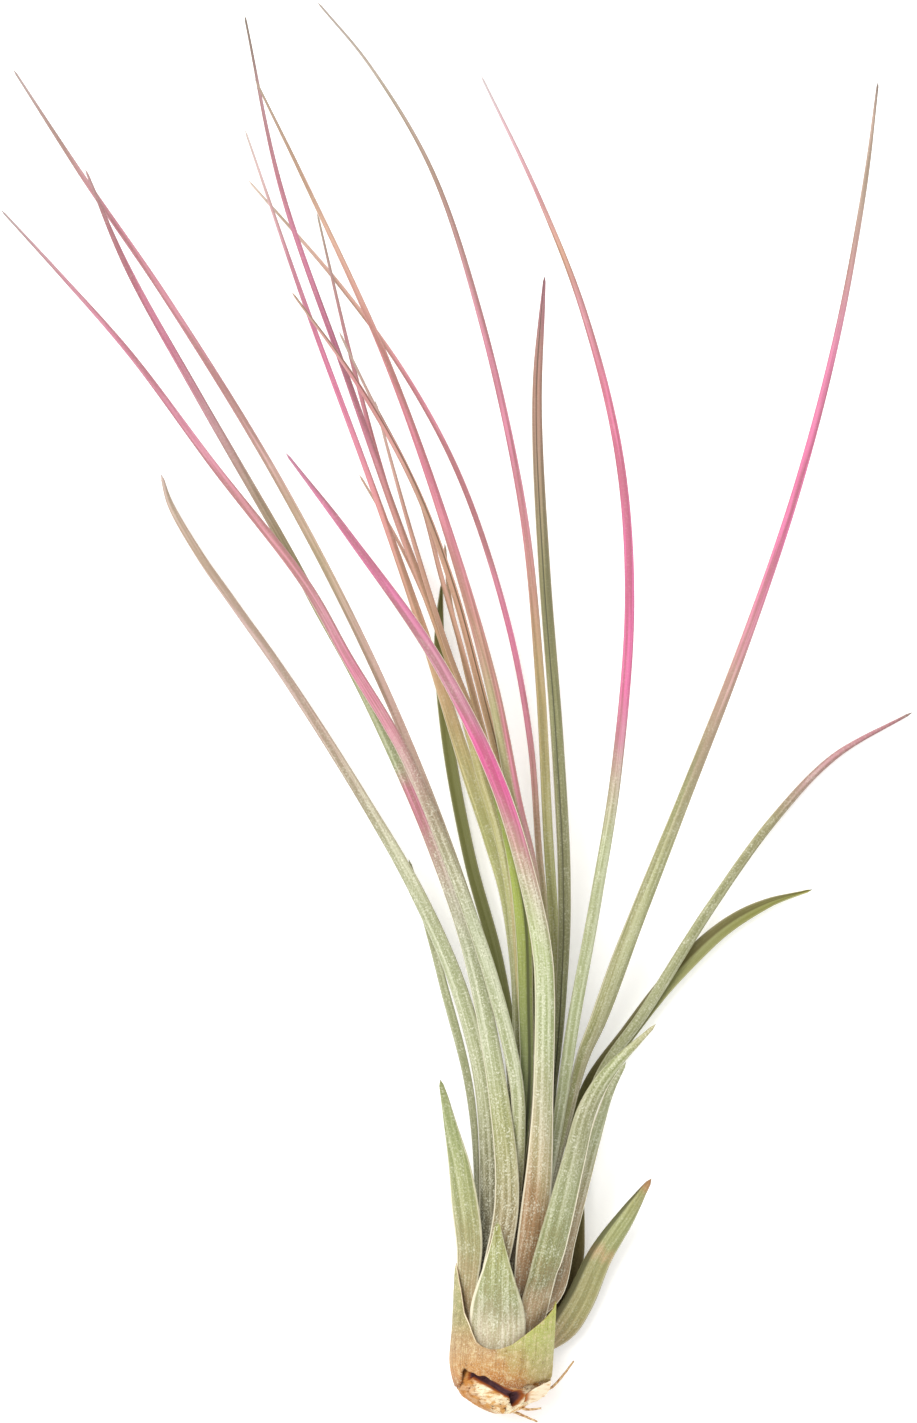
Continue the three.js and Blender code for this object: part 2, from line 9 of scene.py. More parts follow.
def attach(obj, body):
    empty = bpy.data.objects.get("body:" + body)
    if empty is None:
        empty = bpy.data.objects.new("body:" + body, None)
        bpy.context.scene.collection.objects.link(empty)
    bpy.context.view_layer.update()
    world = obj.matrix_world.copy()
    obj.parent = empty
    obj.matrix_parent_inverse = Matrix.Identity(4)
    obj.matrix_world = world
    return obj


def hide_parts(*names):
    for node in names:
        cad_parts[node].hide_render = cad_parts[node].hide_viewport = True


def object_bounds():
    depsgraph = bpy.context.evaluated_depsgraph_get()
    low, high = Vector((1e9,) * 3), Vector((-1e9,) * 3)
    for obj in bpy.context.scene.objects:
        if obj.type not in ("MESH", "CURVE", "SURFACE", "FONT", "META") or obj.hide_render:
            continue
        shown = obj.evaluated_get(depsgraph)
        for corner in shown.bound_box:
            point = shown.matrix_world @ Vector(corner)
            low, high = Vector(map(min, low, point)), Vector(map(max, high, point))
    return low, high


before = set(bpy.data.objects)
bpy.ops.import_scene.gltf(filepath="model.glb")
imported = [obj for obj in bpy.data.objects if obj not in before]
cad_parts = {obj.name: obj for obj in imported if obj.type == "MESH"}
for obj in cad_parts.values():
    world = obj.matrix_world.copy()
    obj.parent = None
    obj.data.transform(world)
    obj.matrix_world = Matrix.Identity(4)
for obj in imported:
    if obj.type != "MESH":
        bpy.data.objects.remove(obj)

CAD_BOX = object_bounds()

# Sizes are in millimetres, and become metres where a mesh is made
MM = 0.001
TOP_HEIGHT = CAD_BOX[1][2] / MM
CLEARANCE = 0.35
WALL = 0.65
BULGE_AT = 8
TIP_WIDTH = 0.4
SHEATH_LENGTH = 8
BLADE_START = 58
FACE = 90
FACE_END = {"along": 90, "share": 0.6}
AXIS = {"across_at_origin": 0.5, "across_slope": 0.085, "height_at_origin": 8.7, "height_slope": 0.035}
STEM = {"foot": -8, "top": 32, "foot_radius": 5.4, "top_radius": 1.1}

# Half the angle that a blade is bent through, by its half-width: a thin one is rolled up
BLADE_BEND = [(0.4, 140), (1, 75), (2, 50)]

# Fineness of the leaf surfaces, their relief, and their wall
STATION_STEP = 1.1
FEWEST_SPANS = 8
SMOOTHED_OVER = 11
RIBS = {"narrow": 15, "wide": 31, "wide_from_half": 30}
RIB_DEPTH = 0.05
RELIEF_SHARE = 0.7
FINE_WALL = 0.92 * WALL
WALL_SHARE = 0.9
LEAST_RADIUS = 0.03
MARGIN_THINNING = 0.72
BUMP_STRENGTH = 0.6

# Reliefs are (height, scale across, scale along). A leaf's noise takes one of so many patterns.
WAVES = (0.04, 0.8, 0.12)
PATTERNS = 17

# Every leaf clasps the stem at its foot, turned by angle about the stem: 0 is right, 90 up, 180 left.
# It clasps half degrees to each side, foot is how far along the stem it starts, layer how many sheaths
# it lies over, and bulge its reach from the stem's axis at BULGE_AT.
# midline gives points (across, along) of the blade, heights (along, height) and widths (along, width).
# face is the way that the blade's back turns until face_end. A leaf with clasp stays bent round the stem.
# stops are its colours by place along; on leaf_left_low, leaf_left_behind, leaf_left_brown, leaf_right_tall,
# leaf_pink_arched, leaf_lime, strand_thick, strand_orange and strand_grooved the dark lowest stops are
# painted shade deep in the bundle. side is a second colour on one side, as (colour, share across where it
# starts, share where it is full, from along, to along); on leaf_right_tall it is painted shade on the left
# half. scurf is how silvery it is, dust how brown at its foot, lean how many mm its right margin runs ahead
# in colour, edges how pale its left and right margins are, and groove a furrow darkened with painted shade as
# (place from left -1 to right 1, half-width, depth).
LEAVES = dict(
    leaf_left_pink=dict(
        angle=92.5, half=11.5, foot=3, face=100, scurf=0.75, edges=(0.7, 0.2),
        midline=[(2.4, 25), (3.2, 36), (2.9, 46), (-1.6, 65), (-9, 86), (-16.7, 104.4), (-20.6, 111.5),
            (-27.3, 122.4), (-34.7, 135.5), (-51.3, 157), (-66.2, 177), (-78.5, 191), (-89.5, 203)],
        heights=[(25, 15.9), (36, 17.1), (46, 19), (65, 21.4), (203, 36)],
        widths=[(25, 2.7), (43, 2.5), (60, 2.7), (86, 2.3), (135, 1.9), (177, 1.1)],
        stops={203: "a89498", 192: "ba7e8e", 180: "c97494", 165: "c87894", 150: "c9808e", 140: "cb8290",
            130: "ca8698", 120: "d27a98", 110: "cc8898", 103: "b68c88", 96: "a68e78", 88: "a8a080",
            75: "b0b694", 50: "b4ba94", 36: "abac80", 26: "978c6c", 12: "6f5f48"},
    ),
    leaf_left_mauve=dict(
        angle=112, half=14, foot=-4.5, bulge=8.05, face=110, scurf=0.8, edges=(0.8, 0.3),
        midline=[(1, 25), (-0.6, 45), (-5.8, 71), (-12.5, 90), (-19, 105), (-26, 119.5), (-32.7, 131.5),
            (-38.9, 143), (-54.7, 170.5), (-67.1, 193), (-74.5, 210.5)],
        heights=[(25, 18), (45, 17.9), (210, 28)],
        widths=[(8, 4.8), (25, 4.8), (45, 3.8), (71, 3.1), (90, 2.7), (143, 1.8), (193, 1.2)],
        stops={210: "b89098", 202: "b87488", 190: "b8607e", 178: "b66280", 165: "a8727c", 155: "a08072",
            145: "a08c6a", 130: "9c9468", 112: "9a9e70", 104: "a0a67c", 99: "cc8097", 93: "ca8698",
            88: "c09c96", 80: "b5ad9a", 70: "adb292", 52: "b2b792", 40: "9fa064", 30: "a09868",
            20: "927c50", 8: "90744e"},
    ),
    leaf_left_brown=dict(
        angle=84, half=11, foot=11, face=80, scurf=0.5, edges=(0.3, 0.2),
        midline=[(2, 50.5), (-1.5, 65), (-5.8, 79), (-14.5, 102.5), (-25.1, 126.5), (-40.3, 155.5),
            (-60.1, 187.5), (-74.5, 208.5), (-87.5, 228.5)],
        heights=[(50, 17), (228, 24)], widths=[(50, 2.2), (79, 1.8), (155, 1.5), (208, 1)],
        stops={228: "a89292", 215: "b08686", 200: "bd7486", 185: "c27a8c", 170: "c28690", 160: "c69a98",
            150: "c2a28e", 140: "c2aa8e", 128: "c4a496", 112: "c49c90", 98: "c0a08e", 85: "b5ac8a",
            65: "a3a684", 50: "6f6e50"},
    ),
    leaf_left_low=dict(
        angle=126, half=10, foot=3, face=130, scurf=0.75, edges=(0.5, 0.2),
        midline=[(-3, 43), (-7, 61), (-14.5, 79), (-25, 97.5), (-38.7, 119), (-48.6, 133), (-54.2, 141),
            (-59.6, 150.5), (-61.2, 156)],
        heights=[(43, 14.5), (97, 6), (156, 0.1)],
        widths=[(16, 4), (30, 4.2), (43, 4), (61, 3.8), (79, 3.3), (97, 2.4), (140, 1.7), (150, 1.3)],
        stops={156: "b49c94", 150: "bea496", 140: "c2a496", 130: "bfa09a", 120: "b89a92", 110: "b89a8e",
            98: "b2a28c", 88: "b2b290", 70: "b3ba94", 45: "a9ab84", 30: "7d7650", 15: "4f4632"},
    ),
    leaf_left_behind=dict(
        angle=153, half=10, foot=3, face=150, scurf=0.4, edges=(0.4, 0.1),
        midline=[(-5.5, 43), (-10.5, 64), (-13.5, 75.5), (-16.5, 86.5)],
        heights=[(43, 11), (86, 3)], widths=[(12, 1.6), (25, 1.8), (43, 2.6), (64, 2.4), (75, 1.6)],
        stops={86.5: "9a9e74", 60: "9ea27a", 40: "8f9068", 22: "6c664a"},
    ),
    leaf_left_short=dict(
        angle=153, half=19, foot=-4.5, bulge=8.5, face=118, dust=0.7, scurf=0.5, edges=(0.8, 0.5),
        midline=[(-5.9, 17), (-6.7, 25), (-7.7, 32), (-9.2, 39), (-10.8, 47)],
        heights=[(17, 15), (25, 16), (47, 17.5)],
        widths=[(8, 5.4), (17, 5.9), (25, 5.5), (32, 4.4), (37, 3), (42, 2)],
        stops={47: "959a62", 40: "9aa46a", 25: "9fa266", 16: "a49c68", 8: "b69c72", 2: "ba9c76",
            -4: "a88866"},
    ),
    scale_front=dict(
        angle=99, half=44, foot=-4.5, layer=1, clasp=True, face=95, scurf=0.75, dust=0.55, edges=(0.8, 0.3),
        midline=[(-0.7, 3), (-0.7, 8), (-0.6, 12), (-0.5, 16), (-0.5, 21.5)],
        heights=[(3, 17.05), (8, 18.9), (12, 19.8), (21.5, 20.5)],
        widths=[(3, 10.6), (7, 9.2), (11, 6.4), (14.5, 4.2), (18, 2.2), (20, 1.2)],
        stops={21.5: "9a9a38", 18: "9da050", 13: "a0a666", 8: "a2a672", 5: "b6b18e", 2: "ddd2b8",
            -3: "dccbb0"},
    ),
    leaf_right_short=dict(
        angle=342, half=15, foot=-4.5, face_end=4, face=75,
        midline=[(10.1, 0.1), (14.3, 6.6), (18.2, 15), (22.8, 22), (27.3, 29)],
        heights=[(0.1, 5.2), (7, 4.9), (29, 8)],
        widths=[(-2, 5.2), (0, 5.8), (3, 5.6), (8, 5.5), (15, 4.7), (21, 3.8), (26, 2)],
        stops={29: "a87444", 27.5: "b48c58", 26: "9f9a5c", 21: "a6aa6e", 16.8: "a8aa6e", 15.4: "c8ac7e",
            13.6: "aaa66c", 5: "a8a066", -1: "a48a58"},
        # The groove has no depth: it paints the shade on the left margin, where the folded inner face lies in
        # shadow
        scurf=0.2, dust=0.3, edges=(0.1, 0.3), groove=(-0.8, 0.3, 0.0),
    ),
    leaf_right_curved=dict(
        angle=42, half=28, foot=-4.5, bulge=8.2, face=66, scurf=0.65, dust=0.9, edges=(0.2, 1.0),
        midline=[(8.6, 13), (9.7, 17), (10.8, 21.4), (13.5, 32.6), (15.9, 41.6), (19.5, 48), (28, 57)],
        heights=[(13, 16.6), (21, 17.2), (57, 20)],
        widths=[(3, 7), (8, 7), (13, 6.4), (17, 6.4), (21, 5.8), (32, 4.5), (41, 4), (48, 2.8)],
        stops={57: "a89c66", 50: "a0a770", 42: "9e9c74", 35: "a1a17a", 26: "a3a87c", 19: "949a62",
            14: "8e8f50", 10.5: "8a8448", 9: "ac936a", 6: "c2a47e", 0: "bea07c"},
    ),
    leaf_right_narrow=dict(
        angle=10, half=12, foot=3, face_end=10, face=62, scurf=0.6, edges=(1.0, 0.9),
        midline=[(10.2, 8), (12.6, 18), (15.1, 28), (17.2, 36), (20.1, 45), (22.7, 50)],
        heights=[(8, 8.6), (19, 9), (50, 9.5)],
        widths=[(3, 2.6), (10, 2.6), (18, 2.6), (28, 2.8), (36, 2.6), (45, 1.5)],
        stops={50: "a0a478", 36: "acb08a", 24: "ae9c7c", 10: "a0805c"},
    ),
    leaf_right_far=dict(
        angle=334, half=11, foot=11, face=60, scurf=0.45, edges=(0.2, 0.5),
        midline=[(13.5, 34), (18, 47), (26, 58.5), (38, 77.5), (49.5, 93.5), (60.5, 105), (74.5, 113)],
        heights=[(34, 8), (113, 0.2)], widths=[(34, 3), (58, 2.5), (93, 1.8), (105, 1.3)],
        stops={113: "7d5a53", 111: "a86573", 107: "bd7f8b", 101: "b99090", 93: "a2996e", 80: "9a9b6a",
            60: "9c9e72", 45: "94946a"},
    ),
    leaf_right_under=dict(
        angle=300, half=14, foot=-4.5, face=300,
        midline=[(8, 2), (11.4, 8), (13.4, 14), (13.8, 20), (13.7, 28), (13.6, 36), (16.5, 45.5),
            (23.3, 55), (31.2, 65), (40.6, 74), (48.5, 78.5), (56.5, 81)],
        heights=[(2, 2.2), (8, 2), (20, 3), (36, 4.2), (81, 1.5)],
        widths=[(8, 4.4), (20, 3.8), (36, 3.4), (55, 3.2), (70, 3.5), (77, 2.6)],
        stops={81: "b4b04c", 79: "a6aa64", 70: "b4b98c", 50: "b6ba92", 34: "a6a680", 20: "8f8458",
            8: "6f6044"},
        scurf=0.25, edges=(0.2, 0.4), groove=(0.35, 0.24, 0.35), side=("8c8656", -0.05, 0.25, 40, 92),
    ),
    leaf_right_tall=dict(
        angle=7, half=11, foot=11, face=76,
        midline=[(11.7, 36), (15.1, 50.4), (18, 57.6), (23.2, 72), (33.1, 97.2), (43, 122.5), (53, 151.5),
            (60.5, 180), (65.5, 207), (68, 226.5)],
        heights=[(36, 11), (226, 16)],
        widths=[(36, 3.2), (50, 3.4), (58, 4), (65, 3.9), (74, 3.3), (97, 2.5), (151, 1.6), (207, 1)],
        stops={226: "85706a", 220: "b09486", 205: "b89c90", 192: "bc8688", 184: "c47c92", 176: "d26e9a",
            160: "da699c", 145: "dc6a9e", 133: "d47c9a", 126: "d48c9e", 119: "cc9c98", 112: "c4a494",
            104: "bea68e", 97: "b0a680", 85: "a8a976", 70: "a6a876", 58: "a19e72", 45: "948a68",
            36: "7f7656", 20: "5f563e"},
        # The side colour is painted shade on the left half of the blade
        scurf=0.35, edges=(0.5, 0.5), side=("94925c", -0.25, -0.42, 30, 115),
    ),
    leaf_pink_arched=dict(
        angle=32, half=10, foot=11, face=70, scurf=0.5, edges=(0.2, 0.3),
        midline=[(10.5, 38), (13.4, 57), (17.5, 80), (21, 102), (23.4, 133), (21.5, 159), (15.2, 184.5),
            (7, 205.5), (-3.5, 227.5)],
        heights=[(38, 14), (227, 21)], widths=[(38, 3), (58, 2.8), (80, 2.3), (133, 1.9), (184, 1.3)],
        stops={227: "bdb0b4", 218: "c9a0aa", 206: "cc8e9a", 196: "c7947c", 186: "c88490", 170: "dc7299",
            150: "e06ca0", 128: "e0649f", 116: "df6ca0", 108: "cf8ca2", 100: "c2b09a", 90: "b9bf94",
            60: "bac29a", 42: "a9ae86", 25: "706e50"},
    ),
    leaf_olive_tall=dict(
        angle=14, half=16, foot=19, face=80, scurf=0.25, edges=(0.5, 0.3), groove=(-0.25, 0.13, 0.35),
        midline=[(9.5, 43), (11.5, 68.5), (11.6, 84.5), (10.35, 108), (7.9, 140.5), (6.7, 169), (8, 191.5)],
        heights=[(43, 11.4), (191, 16)],
        widths=[(43, 2.4), (84, 2.4), (140, 2.2), (160, 2), (175, 1.7), (185, 1.1)],
        stops={191: "945a6c", 187: "a8687a", 180: "a87670", 170: "a87a68", 160: "a07e68", 148: "8f7e58",
            140: "847c4c", 110: "7f7e4a", 84: "8a885a", 60: "8e8e62", 45: "76785a"},
    ),
    leaf_rose_long=dict(
        angle=340, half=14, foot=19, scurf=0.35, edges=(0.2, 0.3),
        midline=[(9.5, 38), (10, 68.5), (8.7, 90), (7.1, 120), (4, 150), (-3.9, 185.5), (-12.5, 211),
            (-23.5, 229.5), (-33, 241)],
        heights=[(38, 7.6), (241, 10)], widths=[(38, 2.2), (68, 1.9), (120, 1.7), (185, 1.2)],
        stops={241: "9a8c84", 225: "a8988a", 210: "b08e84", 196: "bf8890", 178: "c87892", 160: "cc7894",
            145: "cc848e", 130: "c09678", 116: "b9a46c", 85: "b8b878", 60: "b4b484", 45: "9a9c70"},
    ),
    strand_pink_low=dict(
        angle=305, half=14, foot=19, scurf=0.3,
        midline=[(7.2, 45), (8.2, 74), (7, 88), (5.4, 108), (1.3, 129.5), (-7.1, 155), (-16.9, 173.5),
            (-28.9, 190), (-45.5, 209)],
        heights=[(45, 5.6), (209, 3.5)], widths=[(45, 1.7), (88, 1.2), (155, 1), (190, 0.8)],
        stops={209: "cdbab0", 195: "c9a090", 183: "c08c7c", 172: "cf7c90", 150: "d27f96", 140: "d2869a",
            128: "dc749e", 110: "d98aa0", 95: "d0a598", 78: "bcae88", 60: "a0a074", 48: "80825a"},
    ),
    leaf_pink_front=dict(
        angle=65.5, half=10, foot=3, bulge=6.8, face=84, scurf=0.8, dust=0.9, lean=5.0, edges=(0.6, 1.0),
        midline=[(6.6, 25), (7.5, 36), (8.1, 62), (7.6, 70), (5.2, 82), (-0.5, 100.5), (-11.5, 122.5),
            (-27, 144.5), (-38.5, 159.5)],
        heights=[(25, 17.6), (159, 32)],
        widths=[(8, 3.6), (16, 5.4), (25, 5.6), (43, 3.8), (71, 3.6), (86, 3.2), (104, 2.9), (130, 2.1),
            (148, 1.3)],
        stops={159.5: "a86684", 150: "c56a90", 135: "d2689a", 124: "c67c96", 113: "c67e98", 107: "de64a0",
            102: "e25ca0", 97: "d8729e", 92: "d292a2", 87: "cea69e", 82: "c6b6a0", 77: "b8b890",
            70: "aab67a", 55: "b4bc90", 40: "bdb494", 31: "c2ac86", 24: "aa7e4e", 14: "a87c4e", 2: "8c6a4c"},
    ),
    strand_thick=dict(
        angle=120, half=18, foot=27, scurf=0.4, edges=(0.4, 0.4),
        midline=[(3.2, 43), (3.1, 62), (2, 79), (0, 90), (-3.2, 101), (-9.2, 122.5), (-18.5, 147.5),
            (-27.5, 173), (-39.5, 207.5), (-46, 238.5)],
        heights=[(43, 13), (62, 13.5), (101, 13.8), (238, 15.5)],
        widths=[(43, 1.8), (101, 1.9), (147, 1.3), (207, 0.9)],
        stops={238: "8a7670", 225: "a87c84", 210: "b0687c", 195: "b45e80", 178: "b05a7e", 162: "b4667c",
            150: "b87a74", 140: "c08c78", 128: "c89a74", 115: "c0a468", 105: "bab070", 80: "b6b676",
            58: "a6a676", 46: "787a52"},
    ),
    strand_orange=dict(
        angle=185, half=18, foot=27, scurf=0.45, edges=(0.6, 0.5),
        midline=[(1.8, 43), (2.9, 62), (1.5, 79), (-1.6, 90), (-5.3, 101), (-14.5, 129.5), (-23.5, 155),
            (-35.5, 187.5), (-46, 218)],
        heights=[(43, 10.4), (218, 9)],
        widths=[(43, 2.2), (79, 3), (101, 2.8), (133, 1.6), (155, 1.1), (187, 0.9)],
        stops={218: "cbbab8", 205: "c9a0a4", 195: "c6809a", 185: "c87094", 172: "ca6690", 160: "cc748e",
            150: "cf8484", 140: "ca9280", 128: "c89878", 118: "c09a6c", 110: "bba36c", 102: "bfb574",
            92: "bdbc74", 75: "bcbe7e", 58: "a9ac7c", 46: "787a52"},
    ),
    strand_tan_pink=dict(
        angle=58, half=11, foot=11,
        midline=[(7.7, 43), (7.35, 61), (5.9, 83), (2.7, 97), (-1.8, 119), (-10.1, 147.5), (-21, 177.5),
            (-34.5, 207), (-44, 226.5)],
        heights=[(43, 15.8), (226, 31)],
        widths=[(43, 2), (70, 2), (88, 2.4), (105, 2.6), (119, 2.4), (147, 1.7), (177, 1.2), (207, 0.8)],
        stops={226: "bfa49e", 212: "c49c8c", 200: "c69a84", 188: "c48c7e", 178: "c07878", 165: "c47080",
            155: "c76a84", 142: "cf7f8c", 127: "c08a78", 112: "cf8090", 102: "d98aa0", 92: "c9989a",
            84: "b5a87c", 70: "a5a474"},
        lean=7.0, scurf=0.35, edges=(0.3, 0.3), side=("aaa270", 0.35, -0.1, 84, 132),
    ),
    strand_thin=dict(
        angle=235, half=20, foot=27, scurf=0.25,
        midline=[(3.8, 46), (3.2, 62), (1.4, 83), (-5.5, 108), (-12, 131.5), (-18.5, 147.5), (-26, 173.5),
            (-33, 203)],
        heights=[(46, 8.2), (203, 5.8)], widths=[(46, 1.2), (131, 1), (173, 0.8)],
        stops={203: "b8a59d", 185: "b88088", 165: "bf7080", 150: "c47078", 132: "cf847d", 115: "bf9274",
            90: "aca070"},
    ),
    strand_grooved=dict(
        angle=58, half=15, foot=19, scurf=0.3, edges=(0.2, 0.2), groove=(0.3, 0.2, 0.3),
        midline=[(7.2, 43), (6.7, 61), (3.5, 86.5), (0.5, 101), (-3, 115), (-9, 137), (-16, 155),
            (-26, 172.5), (-37.5, 188.5)],
        heights=[(43, 14), (188, 23.5)], widths=[(43, 1.7), (101, 1.7), (137, 1.3), (172, 0.9)],
        stops={188: "c9a498", 172: "cc8088", 160: "c48a80", 150: "c29480", 137: "c8967c", 120: "c09070",
            101: "ba9f6a", 80: "aaa66a", 60: "909064", 48: "76784e"},
    ),
    strand_fine=dict(
        angle=25, half=18, foot=27, scurf=0.2,
        midline=[(7.2, 45), (5.5, 61), (2, 88), (-5.5, 119), (-10.5, 137), (-15, 153), (-23.5, 170),
            (-29, 181.5)],
        heights=[(45, 11.8), (88, 11.9), (119, 13.6), (181, 18)], widths=[(45, 1.2), (119, 1), (153, 0.8)],
        stops={181: "b8a096", 160: "bc8c84", 120: "c89a7c", 90: "b0a068"},
    ),
    strand_slim=dict(
        angle=75, half=20, foot=27, scurf=0.2,
        midline=[(5.4, 45), (3.7, 61), (1, 92), (-3.4, 108.5), (-8.8, 122.5), (-14.6, 140.5),
            (-20, 159.5), (-22.5, 169)],
        heights=[(45, 13.4), (61, 15.2), (169, 18.5)], widths=[(45, 1.3), (108, 1.1), (140, 0.9)],
        stops={169: "b89e92", 150: "c08c80", 120: "c49878", 90: "b0a26a"},
    ),
    strand_hair_left=dict(
        angle=205, half=20, foot=-4.5, bulge=8.2, scurf=0.3,
        midline=[(2.5, 43), (3.2, 60), (-1, 92), (-7.5, 119), (-13.5, 133.5), (-18.5, 144), (-25.5, 156)],
        heights=[(43, 4.7), (156, 3.8)], widths=[(8, 5.4), (30, 3), (43, 1.2), (92, 1), (133, 0.8)],
        stops={156: "d0ada0", 130: "d0967a", 100: "b8a66c", 60: "9c9c68"},
    ),
    strand_hair_middle=dict(
        angle=262, half=20, foot=11, scurf=0.2,
        midline=[(4.2, 43), (3.5, 61), (-0.5, 92), (-3.5, 109), (-6.5, 122), (-9, 133), (-10, 143.5)],
        heights=[(43, 6.2), (143, 5.2)], widths=[(43, 1.2), (92, 1), (133, 0.8)],
        stops={143: "c0a08d", 125: "c4986e", 100: "b0a064", 60: "98965f"},
    ),
    leaf_lime=dict(
        angle=98, half=15, foot=19, scurf=0.1, edges=(0.6, 0.7), groove=(0.4, 0.35, 0.3),
        midline=[(4.6, 43), (4.6, 60), (3.8, 77.5), (1.2, 91), (-1.8, 100)],
        heights=[(43, 15.7), (60, 17.4), (77, 19), (100, 21.5)],
        widths=[(43, 2.4), (66, 2.8), (77, 3), (91, 1.7)],
        stops={100: "8a963a", 92: "9cab34", 78: "9aa83c", 66: "96a04a", 54: "86904e", 45: "727b48"},
    ),
    leaf_olive_back=dict(
        angle=250, half=20, foot=-4.5, bulge=7.6, face=264, scurf=0.2, edges=(0.3, 0.3),
        midline=[(2.4, 18), (3, 28), (3, 43), (-0.5, 67.5), (-5.5, 86.5), (-9.5, 108), (-11, 126),
            (-10.5, 136.5)],
        heights=[(18, 1), (30, 1.1), (43, 2.2), (136, 2)],
        widths=[(6, 5.2), (12, 5.4), (18, 9), (26, 9), (33, 5.6), (43, 2.6), (86, 2.3), (123, 2.2),
            (130, 1.5)],
        stops={136.5: "868c54", 126: "989e66", 108: "a2a872", 90: "a0a670", 60: "969c6e", 30: "6c6c4c"},
    ),
)

PALETTE = {"silver": "e2e2cc", "cream": "f4ecd2", "umber": "8a6a4a", "bloom": "e6ece8", "haze": "d8e6ea"}
DUST = 0.4
EDGES = (0.1, 0.1)
WANDER = 5
# Share of a groove's half-width within which its painted shade is full
GROOVE_SHADE_CORE = 0.3
SIDE_FADES = {"low": 8, "high": 20}

# Red less green from where it is no pink to where it is, where looks fade in along a leaf, how strongly
# they show, and where its margins start, as shares of the half-width
PINK = (0.12, 0.42)
FADES = {"bare": (80, 135), "vivid": (75, 55), "foot": (9, 1), "dust": (32, 8), "haze": (70, 140)}
AMOUNTS = {"bare": 0.85, "deep": 0.6, "pale": 0.5, "bands": 0.8, "veins": 0.5, "patches": 0.55,
    "foot": 0.4, "pits": 0.7, "brown": 0.6, "shade": 0.35, "bloom": 0.05, "haze": 0.06, "inner": 0.8}
MARGIN = {"fray": 0.1, "shade": (0.66, 0.86), "rim": (0.84, 0.92)}


def linear(hex_colour):
    """Scene-linear RGBA of an sRGB colour written in hex."""
    channels = [int(hex_colour[i : i + 2], 16) / 255 for i in (0, 2, 4)]
    return [c / 12.92 if c <= 0.04045 else ((c + 0.055) / 1.055) ** 2.4 for c in channels] + [1.0]


def smoothstep(value, low, high):
    t = np.clip((value - low) / (high - low), 0, 1)
    return float(t * t * (3 - 2 * t))


def axis_point(along):
    across = AXIS["across_at_origin"] + AXIS["across_slope"] * along
    return np.array([across, along, AXIS["height_at_origin"] + AXIS["height_slope"] * along])


def outward(degrees):
    angle = math.radians(degrees)
    return np.array([math.cos(angle), 0.0, math.sin(angle)])


def stem_radius(along):
    share = (along - STEM["foot"]) / (STEM["top"] - STEM["foot"])
    return STEM["foot_radius"] + share * (STEM["top_radius"] - STEM["foot_radius"])


def table_value(rows, place):
    return float(np.interp(place, [row[0] for row in rows], [row[1] for row in rows]))


def relief(kind, across, along, pattern):
    """Height of a smooth relief at a place. Its kind is (height, scale across, scale along)."""
    height, across_scale, along_scale = kind
    return height * noise.noise(Vector((across * across_scale, along * along_scale, pattern)))


def foot_reach(leaf):
    return stem_radius(leaf["foot"]) + (CLEARANCE + WALL) * (1 + leaf.get("layer", 0))


def route_points(leaf):
    """The points that a leaf's midline passes, from its foot in the bundle to its tip."""
    out = outward(leaf["angle"])
    points = [axis_point(leaf["foot"]) + out * foot_reach(leaf)]
    if "bulge" in leaf:
        points.append(axis_point(BULGE_AT) + out * leaf["bulge"])
    for across, along in leaf["midline"]:
        points.append(np.array([across, along, table_value(leaf["heights"], along)]))
    return points


def spline(points, per_span=60):
    """Centripetal Catmull-Rom curve through the points, as close points."""
    rows = [2 * points[0] - points[1], *points, 2 * points[-1] - points[-2]]
    curve = []
    for p0, p1, p2, p3 in zip(rows, rows[1:], rows[2:], rows[3:]):
        d0, d1, d2 = (np.linalg.norm(b - a) ** 0.5 for a, b in ((p0, p1), (p1, p2), (p2, p3)))
        t1 = ((p1 - p0) / d0 - (p2 - p0) / (d0 + d1) + (p2 - p1) / d1) * d1
        t2 = ((p2 - p1) / d1 - (p3 - p1) / (d1 + d2) + (p3 - p2) / d2) * d1
        square, cube = 3 * (p2 - p1) - 2 * t1 - t2, 2 * (p1 - p2) + t1 + t2
        for t in np.linspace(0, 1, per_span, endpoint=False):
            curve.append(p1 + t1 * t + square * t**2 + cube * t**3)
    curve.append(points[-1])
    return np.array(curve)


def stations(curve, step):
    """Even stations on a curve: their places, directions and lengths from its start."""
    lengths = np.concatenate([[0], np.cumsum(np.linalg.norm(np.diff(curve, axis=0), axis=1))])
    at = np.linspace(0, lengths[-1], max(FEWEST_SPANS, int(lengths[-1] / step)) + 1)
    places = np.column_stack([np.interp(at, lengths, curve[:, axis]) for axis in range(3)])
    directions = np.gradient(places, axis=0)
    directions /= np.linalg.norm(directions, axis=1)[:, None]
    return places, directions, at


def widths_along(leaf, places):
    """Widths at the stations, smoothed over a few millimetres and drawn out to a fine tip."""
    foot_width = 2 * foot_reach(leaf) * math.sin(math.radians(leaf["half"]))
    rows = [(leaf["foot"], foot_width), *leaf["widths"], (places[-1][1], TIP_WIDTH)]
    raw = np.array([table_value(rows, place[1]) for place in places])
    kernel = np.hanning(SMOOTHED_OVER)
    padded = np.pad(raw, SMOOTHED_OVER // 2, mode="edge")
    return np.convolve(padded, kernel / kernel.sum(), mode="valid")


